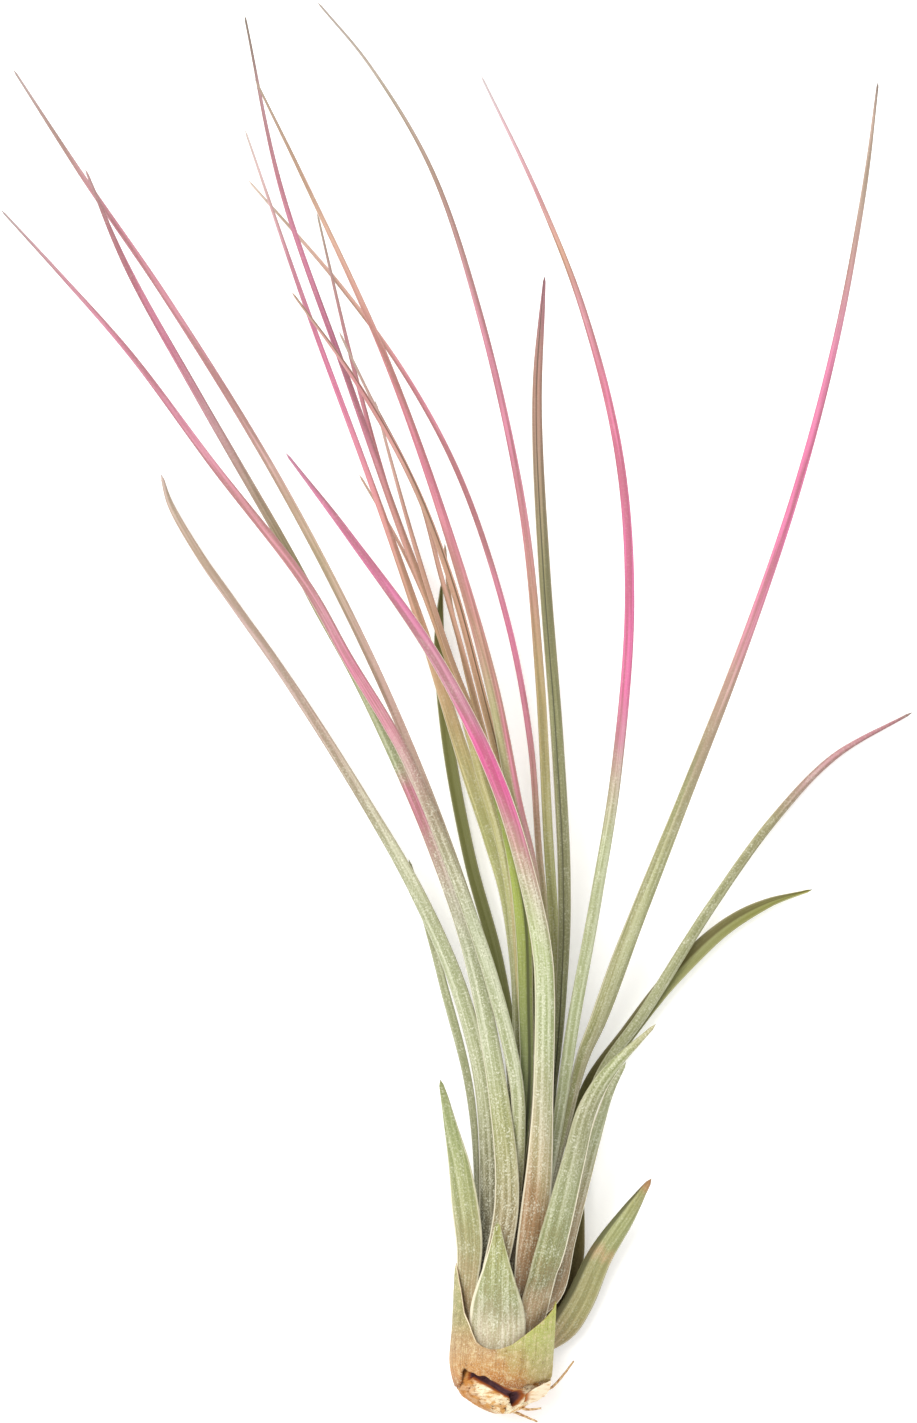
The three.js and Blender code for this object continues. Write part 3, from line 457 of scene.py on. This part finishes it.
def section_rows(leaf, place, width, tip_along, count):
    """Points (side, out, share from left to right, inside) round one section of a leaf."""
    half_width = width / 2
    depth_share = min(1, half_width)
    blade_share = smoothstep(place[1], leaf["foot"] + SHEATH_LENGTH, min(BLADE_START, tip_along))
    if "clasp" in leaf:
        reach = np.linalg.norm(place - axis_point(place[1]))
        degrees = math.degrees(math.asin(min(half_width / reach, 1)))
    else:
        degrees = leaf["half"] + (table_value(BLADE_BEND, half_width) - leaf["half"]) * blade_share
    angle = math.radians(degrees)
    radius = half_width / math.sin(angle) if degrees < 90 else half_width
    raise_by = 0 if "clasp" in leaf else blade_share * radius * (1 - math.cos(angle)) / 2
    wall = min(FINE_WALL, radius * WALL_SHARE)
    centre, groove_half, groove_depth = leaf.get("groove", (0, 1, 0))
    rows = []
    shares = np.linspace(-1, 1, count)
    for inside, ordered in enumerate((shares, shares[::-1])):
        for i, share in enumerate(ordered):
            turn = share * angle
            thickness = wall * (1 - MARGIN_THINNING * abs(share) ** 3)
            rib = RIB_DEPTH * depth_share * (i % 2) * (1 - share**4)
            furrow = groove_depth * depth_share * math.exp(-(((share - centre) / groove_half) ** 2))
            depth = thickness if inside else min(rib + furrow * blade_share, thickness * RELIEF_SHARE)
            distance = max(radius - depth, LEAST_RADIUS)
            out = distance * math.cos(turn) - radius + raise_by
            rows.append((distance * math.sin(turn), out, share, inside))
    return rows


def ring_faces(rings, size):
    """Faces between rings of points, each ring closed."""
    faces = []
    for ring in range(rings - 1):
        for i in range(size):
            a, b = ring * size + i, ring * size + (i + 1) % size
            faces.append((a, b, b + size, a + size))
    return faces


def leaf_mesh(name):
    """Points and faces of one leaf."""
    leaf = LEAVES[name]
    places, directions, lengths = stations(spline(route_points(leaf)), STATION_STEP)
    widths = widths_along(leaf, places)
    count = RIBS["wide"] if leaf["half"] >= RIBS["wide_from_half"] else RIBS["narrow"]
    tip_along = places[-1][1]
    face_end = min(FACE_END["along"], leaf["foot"] + FACE_END["share"] * (tip_along - leaf["foot"]))
    face_end = leaf.get("face_end", face_end)
    swing = (leaf.get("face", FACE) - leaf["angle"] + 180) % 360 - 180
    seed = sum(map(ord, name))
    pattern = seed % PATTERNS
    points = []
    for place, tangent, length, width in zip(places[:-1], directions, lengths, widths):
        turned = smoothstep(place[1], leaf["foot"], face_end)
        out = outward(leaf["angle"] + swing * turned)
        out -= tangent * np.dot(out, tangent)
        out /= np.linalg.norm(out)
        side = np.cross(tangent, out)
        for x, y, share, inside in section_rows(leaf, place, width, tip_along, count):
            wave = relief(WAVES, share, length, seed)
            point = place + side * x + out * (y + wave * min(width / 2, 1))
            point[2] = min(max(point[2], 0), TOP_HEIGHT)
            points.append((point, (share * width / 2, length, pattern), (share, place[1], inside)))
    points.append((places[-1], (0, lengths[-1], pattern), (0, tip_along, 0)))
    size = 2 * count
    rings = len(places) - 1
    faces = ring_faces(rings, size)
    last = (rings - 1) * size
    faces += [(last + i, last + (i + 1) % size, len(points) - 1) for i in range(size)]
    faces += [(i + 1, i, size - 1 - i, size - 2 - i) for i in range(count - 1)]
    return points, faces


def link(thing):
    bpy.context.scene.collection.objects.link(thing)


def add_piece(name, points, faces, material):
    """A named mesh object from points of (place in mm, skin, spot), the last two for its material."""
    places, skin, spot = zip(*points)
    mesh = bpy.data.meshes.new(name)
    mesh.from_pydata([tuple(place * MM) for place in places], [], faces)
    for label, values in (("skin", skin), ("spot", spot)):
        attribute = mesh.attributes.new(label, "FLOAT_VECTOR", "POINT")
        attribute.data.foreach_set("vector", np.array(values, np.float32).ravel())
    mesh.polygons.foreach_set("use_smooth", [True] * len(mesh.polygons))
    mesh.validate()
    mesh.update()
    mesh.materials.append(material)
    piece = bpy.data.objects.new(name, mesh)
    link(piece)
    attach(piece, "root")
    return piece


class Nodes:
    """Short calls for building one material's nodes. A colour is a socket or is written in hex."""

    def __init__(self, name, roughness, specular):
        self.material = bpy.data.materials.new(name)
        self.material.use_nodes = True
        self.tree = self.material.node_tree
        self.shader = self.tree.nodes["Principled BSDF"]
        self.shader.inputs["Roughness"].default_value = roughness
        self.shader.inputs["Specular IOR Level"].default_value = specular

    def add(self, kind, output=0, values=(), **settings):
        node = self.tree.nodes.new(kind)
        for key, value in settings.items():
            setattr(node, key, value)
        for key, value in dict(values).items():
            if isinstance(value, bpy.types.NodeSocket):
                self.tree.links.new(value, node.inputs[key])
            else:
                node.inputs[key].default_value = linear(value) if isinstance(value, str) else value
        return node.outputs[output]

    def attribute(self, label):
        return self.add("ShaderNodeAttribute", output="Vector", attribute_name=label)

    def math(self, operation, *values):
        return self.add("ShaderNodeMath", values=dict(enumerate(values)), operation=operation)

    def plus(self, total, *others):
        for other in others:
            total = self.math("ADD", total, other)
        return total

    def minus(self, value, other):
        return self.math("SUBTRACT", value, other)

    def times(self, product, *others):
        for other in others:
            product = self.math("MULTIPLY", product, other)
        return product

    def split(self, vector):
        return self.add("ShaderNodeSeparateXYZ", values={0: vector}).node.outputs[:]

    def noise(self, vector, scale, detail=3, roughness=0.5):
        stretched = self.add("ShaderNodeVectorMath", values={0: vector, 1: (*scale, 1)}, operation="MULTIPLY")
        values = {"Vector": stretched, "Scale": 1, "Detail": detail, "Roughness": roughness}
        return self.add("ShaderNodeTexNoise", values=values)

    def between(self, value, low, high):
        """0 at low and 1 at high, with a soft start and end."""
        values = {"Value": value, "From Min": low, "From Max": high}
        return self.add("ShaderNodeMapRange", values=values, interpolation_type="SMOOTHSTEP")

    def mix(self, factor, first, second, blend="MIX"):
        values = {0: factor, 6: first, 7: second}
        return self.add("ShaderNodeMix", output=2, values=values, data_type="RGBA", blend_type=blend)

    def tint(self, colour, towards, *amounts):
        """The colour moved towards another one by the product of the amounts."""
        return self.mix(self.times(*amounts), colour, towards)

    def shaded(self, colour, by):
        """The product of two colours."""
        return self.mix(1, colour, by, "MULTIPLY")

    def ramp(self, place, stops):
        """Colour by a place, from stops of hex colours by place."""
        low, high = min(stops), max(stops)
        share = self.add("ShaderNodeMapRange", values={"Value": place, "From Min": low, "From Max": high})
        colours = self.add("ShaderNodeValToRGB", values={0: share})
        elements = colours.node.color_ramp.elements
        elements.remove(elements[1])
        for where, colour in sorted(stops.items()):
            position = (where - low) / (high - low)
            element = elements.new(position) if where > low else elements[0]
            element.position = position
            element.color = linear(colour)
        return colours

    def finish(self, colour, height, depth):
        """The material in this colour, with a bump as deep as depth in millimetres."""
        self.tree.links.new(colour, self.shader.inputs["Base Color"])
        values = {"Height": height, "Distance": depth * MM, "Strength": BUMP_STRENGTH}
        self.tree.links.new(self.add("ShaderNodeBump", values=values), self.shader.inputs["Normal"])
        return self.material


def skin_nodes(name, roughness, specular):
    """A material's nodes, with each point's place on the skin and the three values of its spot."""
    nodes = Nodes(name, roughness, specular)
    return nodes, nodes.attribute("skin"), nodes.split(nodes.attribute("spot"))


def leaf_material(name):
    """A living leaf: colour along the blade, veins, mottling, silvery scurf, pale margins, and painted shade
    near the margins and in a groove.
    """
    leaf = LEAVES[name]
    nodes, skin, (share, along, inside) = skin_nodes("skin_" + name, roughness=0.6, specular=0.32)
    dust = leaf.get("dust", DUST)
    drift = nodes.noise(skin, (0.5, 0.12), detail=2)
    wander = nodes.times(nodes.minus(drift, 0.5), WANDER)
    ahead = nodes.times(share, leaf.get("lean", 0))
    base = nodes.ramp(nodes.plus(along, wander, ahead), leaf["stops"])
    # A side colour: the leaf's own colour on strand_tan_pink and leaf_right_under, painted shade on
    # leaf_right_tall
    if "side" in leaf:
        side_colour, start, full, low, high = leaf["side"]
        begins = nodes.between(along, low, low + SIDE_FADES["low"])
        ends = nodes.between(along, high, high - SIDE_FADES["high"])
        base = nodes.tint(base, side_colour, begins, ends, nodes.between(share, start, full))
    red, green, _ = nodes.split(base)
    pinkness = nodes.between(nodes.minus(red, green), *PINK)
    bare = nodes.math("MAXIMUM", pinkness, nodes.between(along, *FADES["bare"]))
    scurf = nodes.times(nodes.minus(1, nodes.times(bare, AMOUNTS["bare"])), leaf["scurf"])
    vivid = nodes.mix(nodes.between(along, *FADES["vivid"]), "a8a878", "a6ac64")
    deep = nodes.tint(base, nodes.shaded(base, vivid), AMOUNTS["deep"])
    pale = nodes.tint(base, PALETTE["silver"], AMOUNTS["pale"])
    stripes = nodes.noise(skin, (1.5, 0.025), detail=2, roughness=0.6)
    colour = nodes.tint(base, deep, nodes.between(stripes, 0.58, 0.4))
    colour = nodes.tint(colour, pale, nodes.between(stripes, 0.5, 0.64), scurf, AMOUNTS["bands"])
    veins = nodes.noise(skin, (4.2, 0.05), detail=2, roughness=0.6)
    colour = nodes.tint(colour, deep, nodes.between(veins, 0.5, 0.36), AMOUNTS["veins"])
    mottle = nodes.noise(skin, (0.9, 0.3), detail=4, roughness=0.7)
    colour = nodes.tint(colour, pale, nodes.between(mottle, 0.5, 0.66), scurf, AMOUNTS["patches"])
    grain = nodes.noise(skin, (3.4, 2.6), roughness=0.75)
    foot_scurf = nodes.times(nodes.between(along, *FADES["foot"]), dust * AMOUNTS["foot"])
    uneven = nodes.plus(nodes.times(nodes.between(mottle, 0.38, 0.62), 0.75), 0.35)
    worn = nodes.minus(0.85, nodes.times(bare, 0.35))
    amount = nodes.times(nodes.plus(scurf, 0.1, foot_scurf), uneven, worn)
    colour = nodes.tint(colour, PALETTE["silver"], nodes.between(grain, 0.49, 0.64), amount)
    pit = nodes.shaded(base, "a09c6c")
    colour = nodes.tint(colour, pit, nodes.between(grain, 0.46, 0.37), amount, AMOUNTS["pits"])
    dusty = nodes.times(nodes.between(along, *FADES["dust"]), nodes.between(mottle, 0.56, 0.42), dust)
    brown = nodes.tint(base, PALETTE["umber"], AMOUNTS["brown"])
    colour = nodes.tint(colour, brown, dusty, nodes.between(grain, 0.58, 0.44))
    edge = nodes.plus(share, nodes.times(nodes.minus(mottle, 0.5), MARGIN["fray"]))
    shade = nodes.between(nodes.math("ABSOLUTE", edge), *MARGIN["shade"])
    colour = nodes.tint(colour, deep, shade, AMOUNTS["shade"])
    start, full = MARGIN["rim"]
    for side, strength in zip((-1, 1), leaf.get("edges", EDGES)):
        rim = nodes.between(edge, side * start, side * full)
        colour = nodes.tint(colour, PALETTE["cream"], rim, strength)
    # A groove darkens the blade with painted shade: the shade in its furrow, or with no furrow depth a
    # painted shadow
    if "groove" in leaf:
        centre, half, _ = leaf["groove"]
        offset = nodes.math("ABSOLUTE", nodes.minus(share, centre))
        dark = nodes.shaded(base, "8c8a5c")
        colour = nodes.tint(colour, dark, nodes.between(offset, half, half * GROOVE_SHADE_CORE))
    colour = nodes.tint(colour, PALETTE["bloom"], nodes.minus(1, bare), AMOUNTS["bloom"])
    colour = nodes.tint(colour, PALETTE["haze"], nodes.between(along, *FADES["haze"]), AMOUNTS["haze"])
    colour = nodes.tint(colour, nodes.shaded(base, "b8b48c"), inside, AMOUNTS["inner"])
    height = nodes.plus(nodes.times(veins, 0.6), nodes.times(grain, 0.6))
    return nodes.finish(colour, height, depth=0.12)


def make_leaves():
    for name in LEAVES:
        piece = add_piece("fine_" + name, *leaf_mesh(name), leaf_material(name))
        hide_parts(name)


# The basal sheath and the husk, with (degrees, along) for the rim and the torn foot
SHEATH = {
    "shoulder": -2.5, "radius": 9.45, "foot_radius": 7.7, "wall": 0.45, "foot": -9.3, "flare": 0.04,
    "rim": [(-155, 4.5), (-75, 4.5), (-58, -5.2), (3, -5.2), (9, 1), (14, 6), (17, 7), (24, 5.6), (41, 3.7),
        (55, 2.2), (66, 0.9), (80, -0.8), (92, -1.5), (103, -1.6), (113, -1.1), (120, -0.3), (126, 1.2),
        (132, 2.9), (141, 5), (146, 7.2), (151, 9.4), (160, 12.2), (167, 13.8), (172, 13), (177, 11)],
    "torn": [(-155, -7.6), (-58, -8), (3, -8), (20, -7.3), (45, -8.1), (67, -8.6), (81, -8.6), (92, -7.8),
        (103, -6.9), (118, -6), (135, -5.2), (142, -5.8), (147, -7.6), (156, -8.7), (177, -8.4)],
}
HUSK = {
    "shoulder": -8.6, "radius": 9.3, "foot_radius": 7.9, "wall": 0.4, "foot": -11.6, "flare": 0,
    "rim": [(-4, -7.3), (15, -7.5), (30, -7.9), (45, -8.6), (57, -9.6)],
    "torn": [(-4, -8.7), (10, -9.5), (25, -10.5), (38, -11.4), (48, -11.5), (57, -11)],
}
WRAP = {"radius": 9, "pattern": 3}
RIM_THINNING = 0.6
FLARE = {"above": 3, "degrees": (110, 140)}
TEARS = (0.7, 0.09, 1)
DENTS = (0.12, 0.05, 0.25)
SHEATH_GREENS = {7: "b3b83e", 4: "b2b857", 0: "b0b368", -4: "aca466", -7: "b29e60", -9: "bb8d4e"}
SHEATH_TANS = {14: "a4a06c", 6: "969460", 3: "9c9262", 0.5: "a98c60", -2: "b49064", -4.5: "bd8e56",
    -6.5: "b87e42", -9: "92582c"}
SHEATH_WANDER = 70
SHEATH_SLANT = -4
INNER_SHADE = 0.7

# The stub as (along, radius), its dark crevice under the sheath as (degrees, along), and its hollow
STUB = [(-4.5, 7), (-7.2, 7.6), (-9, 7.3), (-10.2, 6.6), (-11.6, 4.9), (-12.7, 3.1), (-13.4, 1.3)]
STUB_LEAN = {"below": -9, "slope": 0.25}
CREVICE = [(60, -10.1), (70, -9.8), (81, -9.3), (92, -8.5), (103, -7.7), (118, -6.8), (133, -6), (141, -6.4)]
CREVICE_DEPTH = 1.5
CREVICE_HALF_HEIGHT = 0.75
HOLLOW = {"degrees": 57, "along": -10.5, "half_turn": 13, "half_height": 1.4, "depth": 3}
STUB_TURNS = 200
STUB_ROWS = 60
STUB_CORE = 0.4
STUB_SKIN = {"radius": 7, "pattern": 5}
RIDGES = (0.3, 0.05, 1.9)
FIBRES = (0.12, 0.16, 3.4)

# Cracks run where a noise, summed from (share, scale), comes near zero
CRACKS = ((1, 0.42), (0.45, 1.3))
CRACK = {"below": 0.14, "depth": 0.8}

ROOT = {"radius": 0.33, "taper": 0.5, "sides": 8, "step": 0.4, "pattern": 9}
KNOTS = (0.25, 1.3, 1)
ROOTS = [
    [(3, -9, 7.5), (8.8, -9, 6.4), (11, -7, 6), (13.3, -4, 5.8)],
    [(2, -11.6, 9.5), (4.8, -12.6, 10), (7.4, -12.4, 10.4)],
    [(1, -12.6, 8), (3.2, -13.4, 7.8), (6.7, -14.9, 7.2)],
]


def wrap_mesh(shape, turns, rows):
    """A sheath that wraps the stem, with a torn foot: a grid of points outside and one inside."""
    first, last = shape["rim"][0][0], shape["rim"][-1][0]
    points = []
    for inside in (0, 1):
        for i in range(turns):
            degrees = first + (last - first) * i / (turns - 1)
            top = table_value(shape["rim"], degrees)
            tear = relief(TEARS, degrees, 3.1, 0)
            foot = max(table_value(shape["torn"], degrees) + tear, shape["foot"])
            bend = min(shape["shoulder"], top - 1)
            for j in range(rows):
                share = j / (rows - 1)
                along = foot + (top - foot) * share
                rise = float(np.clip((along - shape["foot"]) / (bend - shape["foot"]), 0, 1))
                lift = math.sin(rise * math.pi / 2)
                radius = shape["foot_radius"] + (shape["radius"] - shape["foot_radius"]) * lift
                radius -= inside * shape["wall"] * (1 - RIM_THINNING * share**4)
                flare = max(along - FLARE["above"], 0) * smoothstep(degrees, *FLARE["degrees"])
                radius += shape["flare"] * flare
                radius -= abs(relief(DENTS, degrees, along, 7))
                point = axis_point(along) + outward(degrees) * radius
                point[2] = max(point[2], inside * shape["wall"])
                skin = (math.radians(degrees) * WRAP["radius"], along, WRAP["pattern"])
                points.append((point, skin, (degrees, along, -1 if inside else top - along)))
    faces = []
    half = turns * rows
    for i in range(turns - 1):
        for j in range(rows - 1):
            a, b = i * rows + j, (i + 1) * rows + j
            faces.append((b, a, a + 1, b + 1))
            faces.append((half + a, half + b, half + b + 1, half + a + 1))
        a, b = i * rows, (i + 1) * rows
        faces.append((a, b, half + b, half + a))
        a, b = a + rows - 1, b + rows - 1
        faces.append((b, a, half + a, half + b))
    for j in range(rows - 1):
        a, b = j, (turns - 1) * rows + j
        faces.append((a + 1, a, half + a, half + a + 1))
        faces.append((b, b + 1, half + b + 1, half + b))
    return points, faces


def sheath_material():
    """Tan at the left, yellow-green towards the pointed tip at the right, scorched at its torn foot."""
    nodes, skin, (degrees, along, below_rim) = skin_nodes("skin_sheath", roughness=0.6, specular=0.3)
    inside = nodes.math("LESS_THAN", below_rim, 0)
    green, tan = nodes.ramp(along, SHEATH_GREENS), nodes.ramp(along, SHEATH_TANS)
    blotch = nodes.noise(skin, (0.35, 0.3), detail=4, roughness=0.6)
    wander = nodes.times(nodes.minus(blotch, 0.5), SHEATH_WANDER)
    place = nodes.plus(degrees, wander, nodes.times(along, SHEATH_SLANT))
    aged = nodes.math("MAXIMUM", nodes.between(place, 62, 112), nodes.between(degrees, -55, -75))
    colour = nodes.mix(aged, green, tan)
    bleached = nodes.noise(skin, (0.8, 0.8), detail=5, roughness=0.7)
    colour = nodes.tint(colour, "dccb9e", nodes.between(bleached, 0.5, 0.64), 0.6)
    scorched = nodes.shaded(colour, "b08a58")
    colour = nodes.tint(colour, scorched, nodes.between(bleached, 0.44, 0.34), 0.55)
    grain = nodes.noise(skin, (4, 3.2), roughness=0.75)
    colour = nodes.tint(colour, "e2d9bc", nodes.between(grain, 0.52, 0.62), 0.5)
    veins = nodes.noise(skin, (3, 0.12))
    dark = nodes.shaded(colour, "b3a078")
    colour = nodes.tint(colour, dark, nodes.between(veins, 0.48, 0.32), 0.45)
    lip, left = nodes.between(below_rim, 0.5, 0.15), nodes.between(degrees, 112, 135)
    colour = nodes.tint(colour, "f0e4c6", lip, left)
    colour = nodes.tint(colour, "8c6a48", inside, INNER_SHADE)
    height = nodes.plus(nodes.times(veins, 0.5), nodes.times(grain, 0.6))
    return nodes.finish(colour, height, depth=0.12)


def husk_material():
    """Straw-coloured and fibrous, brown at its end on the left."""
    nodes, skin, (degrees, _, below_rim) = skin_nodes("skin_husk", roughness=0.7, specular=0.25)
    inside = nodes.math("LESS_THAN", below_rim, 0)
    fibre = nodes.noise(skin, (0.3, 2.4), roughness=0.6)
    colour = nodes.mix(nodes.between(fibre, 0.3, 0.55), "dcb484", "f8e8ca")
    colour = nodes.tint(colour, "a8622c", nodes.between(degrees, 49, 57))
    colour = nodes.tint(colour, "6b4326", inside, INNER_SHADE)
    return nodes.finish(colour, fibre, depth=0.15)


def stub_surface(degrees, along, radius):
    """One point of the torn stub: how far out it is, how deep in a crack and how deep in a hollow."""
    place = Vector(outward(degrees) * STUB_SKIN["radius"] + [0, along, 0])
    crack = sum(share * abs(noise.noise(place * scale)) for share, scale in CRACKS)
    pushed = radius - CRACK["depth"] * max(CRACK["below"] - crack, 0) / CRACK["below"]
    pushed += RIDGES[0] - 2 * abs(relief(RIDGES, degrees, along, 5)) + relief(FIBRES, degrees, along, 8)
    beside = CREVICE[0][0] <= degrees <= CREVICE[-1][0]
    drop = (along - table_value(CREVICE, degrees)) / CREVICE_HALF_HEIGHT
    crevice = math.exp(-(drop**2)) if beside else 0
    turn = (degrees - HOLLOW["degrees"]) / HOLLOW["half_turn"]
    rise = (along - HOLLOW["along"]) / HOLLOW["half_height"]
    hollow = math.exp(-((turn**2 + rise**2) ** 2))
    pushed -= CREVICE_DEPTH * crevice + HOLLOW["depth"] * hollow
    return max(pushed, STUB_CORE), crack, max(hollow, crevice)


def stub_mesh():
    """The torn stub: rings of points down to its foot, closed by a point at each end."""
    top, foot = STUB[0][0], STUB[-1][0]
    points = []
    for along in np.linspace(top, foot, STUB_ROWS):
        radius = table_value(STUB[::-1], along)
        for degrees in np.arange(STUB_TURNS) * 360 / STUB_TURNS:
            pushed, crack, hollow = stub_surface(degrees, along, radius)
            point = axis_point(along) + outward(degrees) * pushed
            point[0] += STUB_LEAN["slope"] * max(STUB_LEAN["below"] - along, 0)
            skin = (math.radians(degrees) * STUB_SKIN["radius"], along, STUB_SKIN["pattern"])
            points.append((point, skin, (hollow, along, crack)))
    centre = len(points)
    lean = STUB_LEAN["slope"] * (STUB_LEAN["below"] - foot)
    ends = ((axis_point(foot) + [lean, -0.1, 0], foot, 0.3), (axis_point(STEM["top"]), STEM["top"], 0))
    for point, along, crack in ends:
        points.append((point, (0, along, STUB_SKIN["pattern"]), (0, along, crack)))
    faces = ring_faces(STUB_ROWS, STUB_TURNS)
    last = (STUB_ROWS - 1) * STUB_TURNS
    for i in range(STUB_TURNS):
        after = (i + 1) % STUB_TURNS
        faces.append((last + i, last + after, centre))
        faces.append((after, i, centre + 1))
    return points, faces


def stub_material():
    """Layers of dry fibre, dark in the cracks, the hollow and the crevice."""
    nodes, skin, (hollow, along, crack) = skin_nodes("skin_stub", roughness=0.75, specular=0.2)
    across, _, _ = nodes.split(skin)
    layer = nodes.noise(skin, (0.32, 0.55), roughness=0.55)
    colour = nodes.mix(nodes.between(layer, 0.4, 0.56), "d69f58", "fbeecb")
    colour = nodes.tint(colour, "b87a3c", nodes.between(across, 13.5, 17.5), 0.7)
    line = nodes.math("PINGPONG", nodes.times(layer, 11), 0.5)
    colour = nodes.tint(colour, "a4622a", nodes.between(line, 0.1, 0), 0.75)
    strands = nodes.noise(skin, (0.5, 3.2), roughness=0.6)
    colour = nodes.tint(colour, "b07038", nodes.between(strands, 0.44, 0.34), 0.6)
    colour = nodes.tint(colour, "7a4424", nodes.between(crack, 0.12, 0.04))
    colour = nodes.tint(colour, "a85c28", nodes.between(hollow, 0.08, 0.35))
    colour = nodes.tint(colour, "5c3e44", nodes.between(hollow, 0.35, 0.75))
    colour = nodes.tint(colour, "8f8962", nodes.between(along, -5.5, -3))
    return nodes.finish(colour, nodes.plus(layer, strands), depth=0.2)


def tube_mesh(route):
    """A thin tapering root along a curve."""
    curve = spline([np.array(p, float) for p in route], per_span=14)
    places, directions, lengths = stations(curve, ROOT["step"])
    points = []
    sides = ROOT["sides"]
    for place, tangent, length in zip(places, directions, lengths):
        side = np.cross(tangent, [0, 0, 1])
        side /= np.linalg.norm(side)
        up = np.cross(side, tangent)
        size = ROOT["radius"] * (1 - ROOT["taper"] * length / lengths[-1])
        for i in range(sides):
            turn = 2 * math.pi * i / sides
            knot = size * (1 + relief(KNOTS, length, turn, 2))
            point = place + (side * math.cos(turn) + up * math.sin(turn)) * knot
            points.append((point, (turn * ROOT["radius"], length, ROOT["pattern"]), (0, length, 0)))
    faces = [face[::-1] for face in ring_faces(len(places), sides)]
    faces.append(tuple(range(sides)))
    faces.append(tuple(reversed(range(len(points) - sides, len(points)))))
    return points, faces


def root_material():
    nodes = Nodes("skin_root", roughness=0.7, specular=0.25)
    fibre = nodes.noise(nodes.attribute("skin"), (2, 1.4))
    colour = nodes.mix(nodes.between(fibre, 0.35, 0.65), "a8764a", "e0c496")
    return nodes.finish(colour, fibre, depth=0.1)


def make_base():
    sheath = add_piece("fine_sheath_basal", *wrap_mesh(SHEATH, turns=240, rows=30), sheath_material())
    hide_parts("sheath_basal")
    husk = add_piece("fine_husk_dry", *wrap_mesh(HUSK, turns=60, rows=8), husk_material())
    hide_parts("husk_dry")
    stub = add_piece("fine_stub", *stub_mesh(), stub_material())
    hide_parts("stem")
    skin = root_material()
    for number, points in enumerate(ROOTS, 1):
        root = add_piece(f"fine_root_{number}", *tube_mesh(points), skin)
        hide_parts("stem")


# The camera looks straight down, far away behind a long lens, so that the picture is 0.18 mm a pixel
PICTURE_HEIGHT = 1423 * 0.18 * MM
LENS = 600
SENSOR = 36
CLIP_END = 50
PICTURE_CENTRE = (-7.5 * MM, 113.1 * MM)
SHARP_HEIGHT = 13 * MM
LIT_AT = (0, 0.1, 0)
KEY_LIGHT = {"location": (-0.45, 0.5, 1.2), "size": 0.8, "power": 12, "colour": (1, 0.98, 0.94)}
FLOOR_SIZE = 40
FLOOR_LOOK = {"Base Color": (0.92, 0.92, 0.92, 1), "Emission Color": (1, 1, 1, 1), "Emission Strength": 0.3}
SKY = {"colour": (1, 0.99, 0.97, 1), "strength": 0.88}


def make_camera():
    camera = bpy.data.objects.new("camera", bpy.data.cameras.new("camera"))
    camera.data.lens = LENS
    camera.data.sensor_width = SENSOR
    camera.data.clip_end = CLIP_END
    distance = PICTURE_HEIGHT * LENS / SENSOR
    camera.location = (*PICTURE_CENTRE, SHARP_HEIGHT + distance)
    link(camera)
    bpy.context.scene.camera = camera


def add_light(name, location, size, power, colour):
    light = bpy.data.lights.new(name, "AREA")
    light.size = size
    light.energy = power
    light.color = colour
    lamp = bpy.data.objects.new(name, light)
    lamp.location = location
    lamp.rotation_euler = (Vector(LIT_AT) - Vector(location)).to_track_quat("-Z", "Y").to_euler()
    lamp.visible_camera = False
    link(lamp)


def make_stage():
    bpy.ops.mesh.primitive_plane_add(size=FLOOR_SIZE)
    floor = bpy.context.object
    floor.name = "floor"
    nodes = Nodes("floor", roughness=0.9, specular=0.1)
    for label, value in FLOOR_LOOK.items():
        nodes.shader.inputs[label].default_value = value
    floor.data.materials.append(nodes.material)
    world = bpy.data.worlds.new("studio")
    world.use_nodes = True
    background = world.node_tree.nodes["Background"]
    background.inputs["Color"].default_value = SKY["colour"]
    background.inputs["Strength"].default_value = SKY["strength"]
    bpy.context.scene.world = world
    add_light("key", **KEY_LIGHT)
    bpy.context.scene.view_settings.view_transform = "Standard"


make_leaves()
make_base()
make_camera()
make_stage()
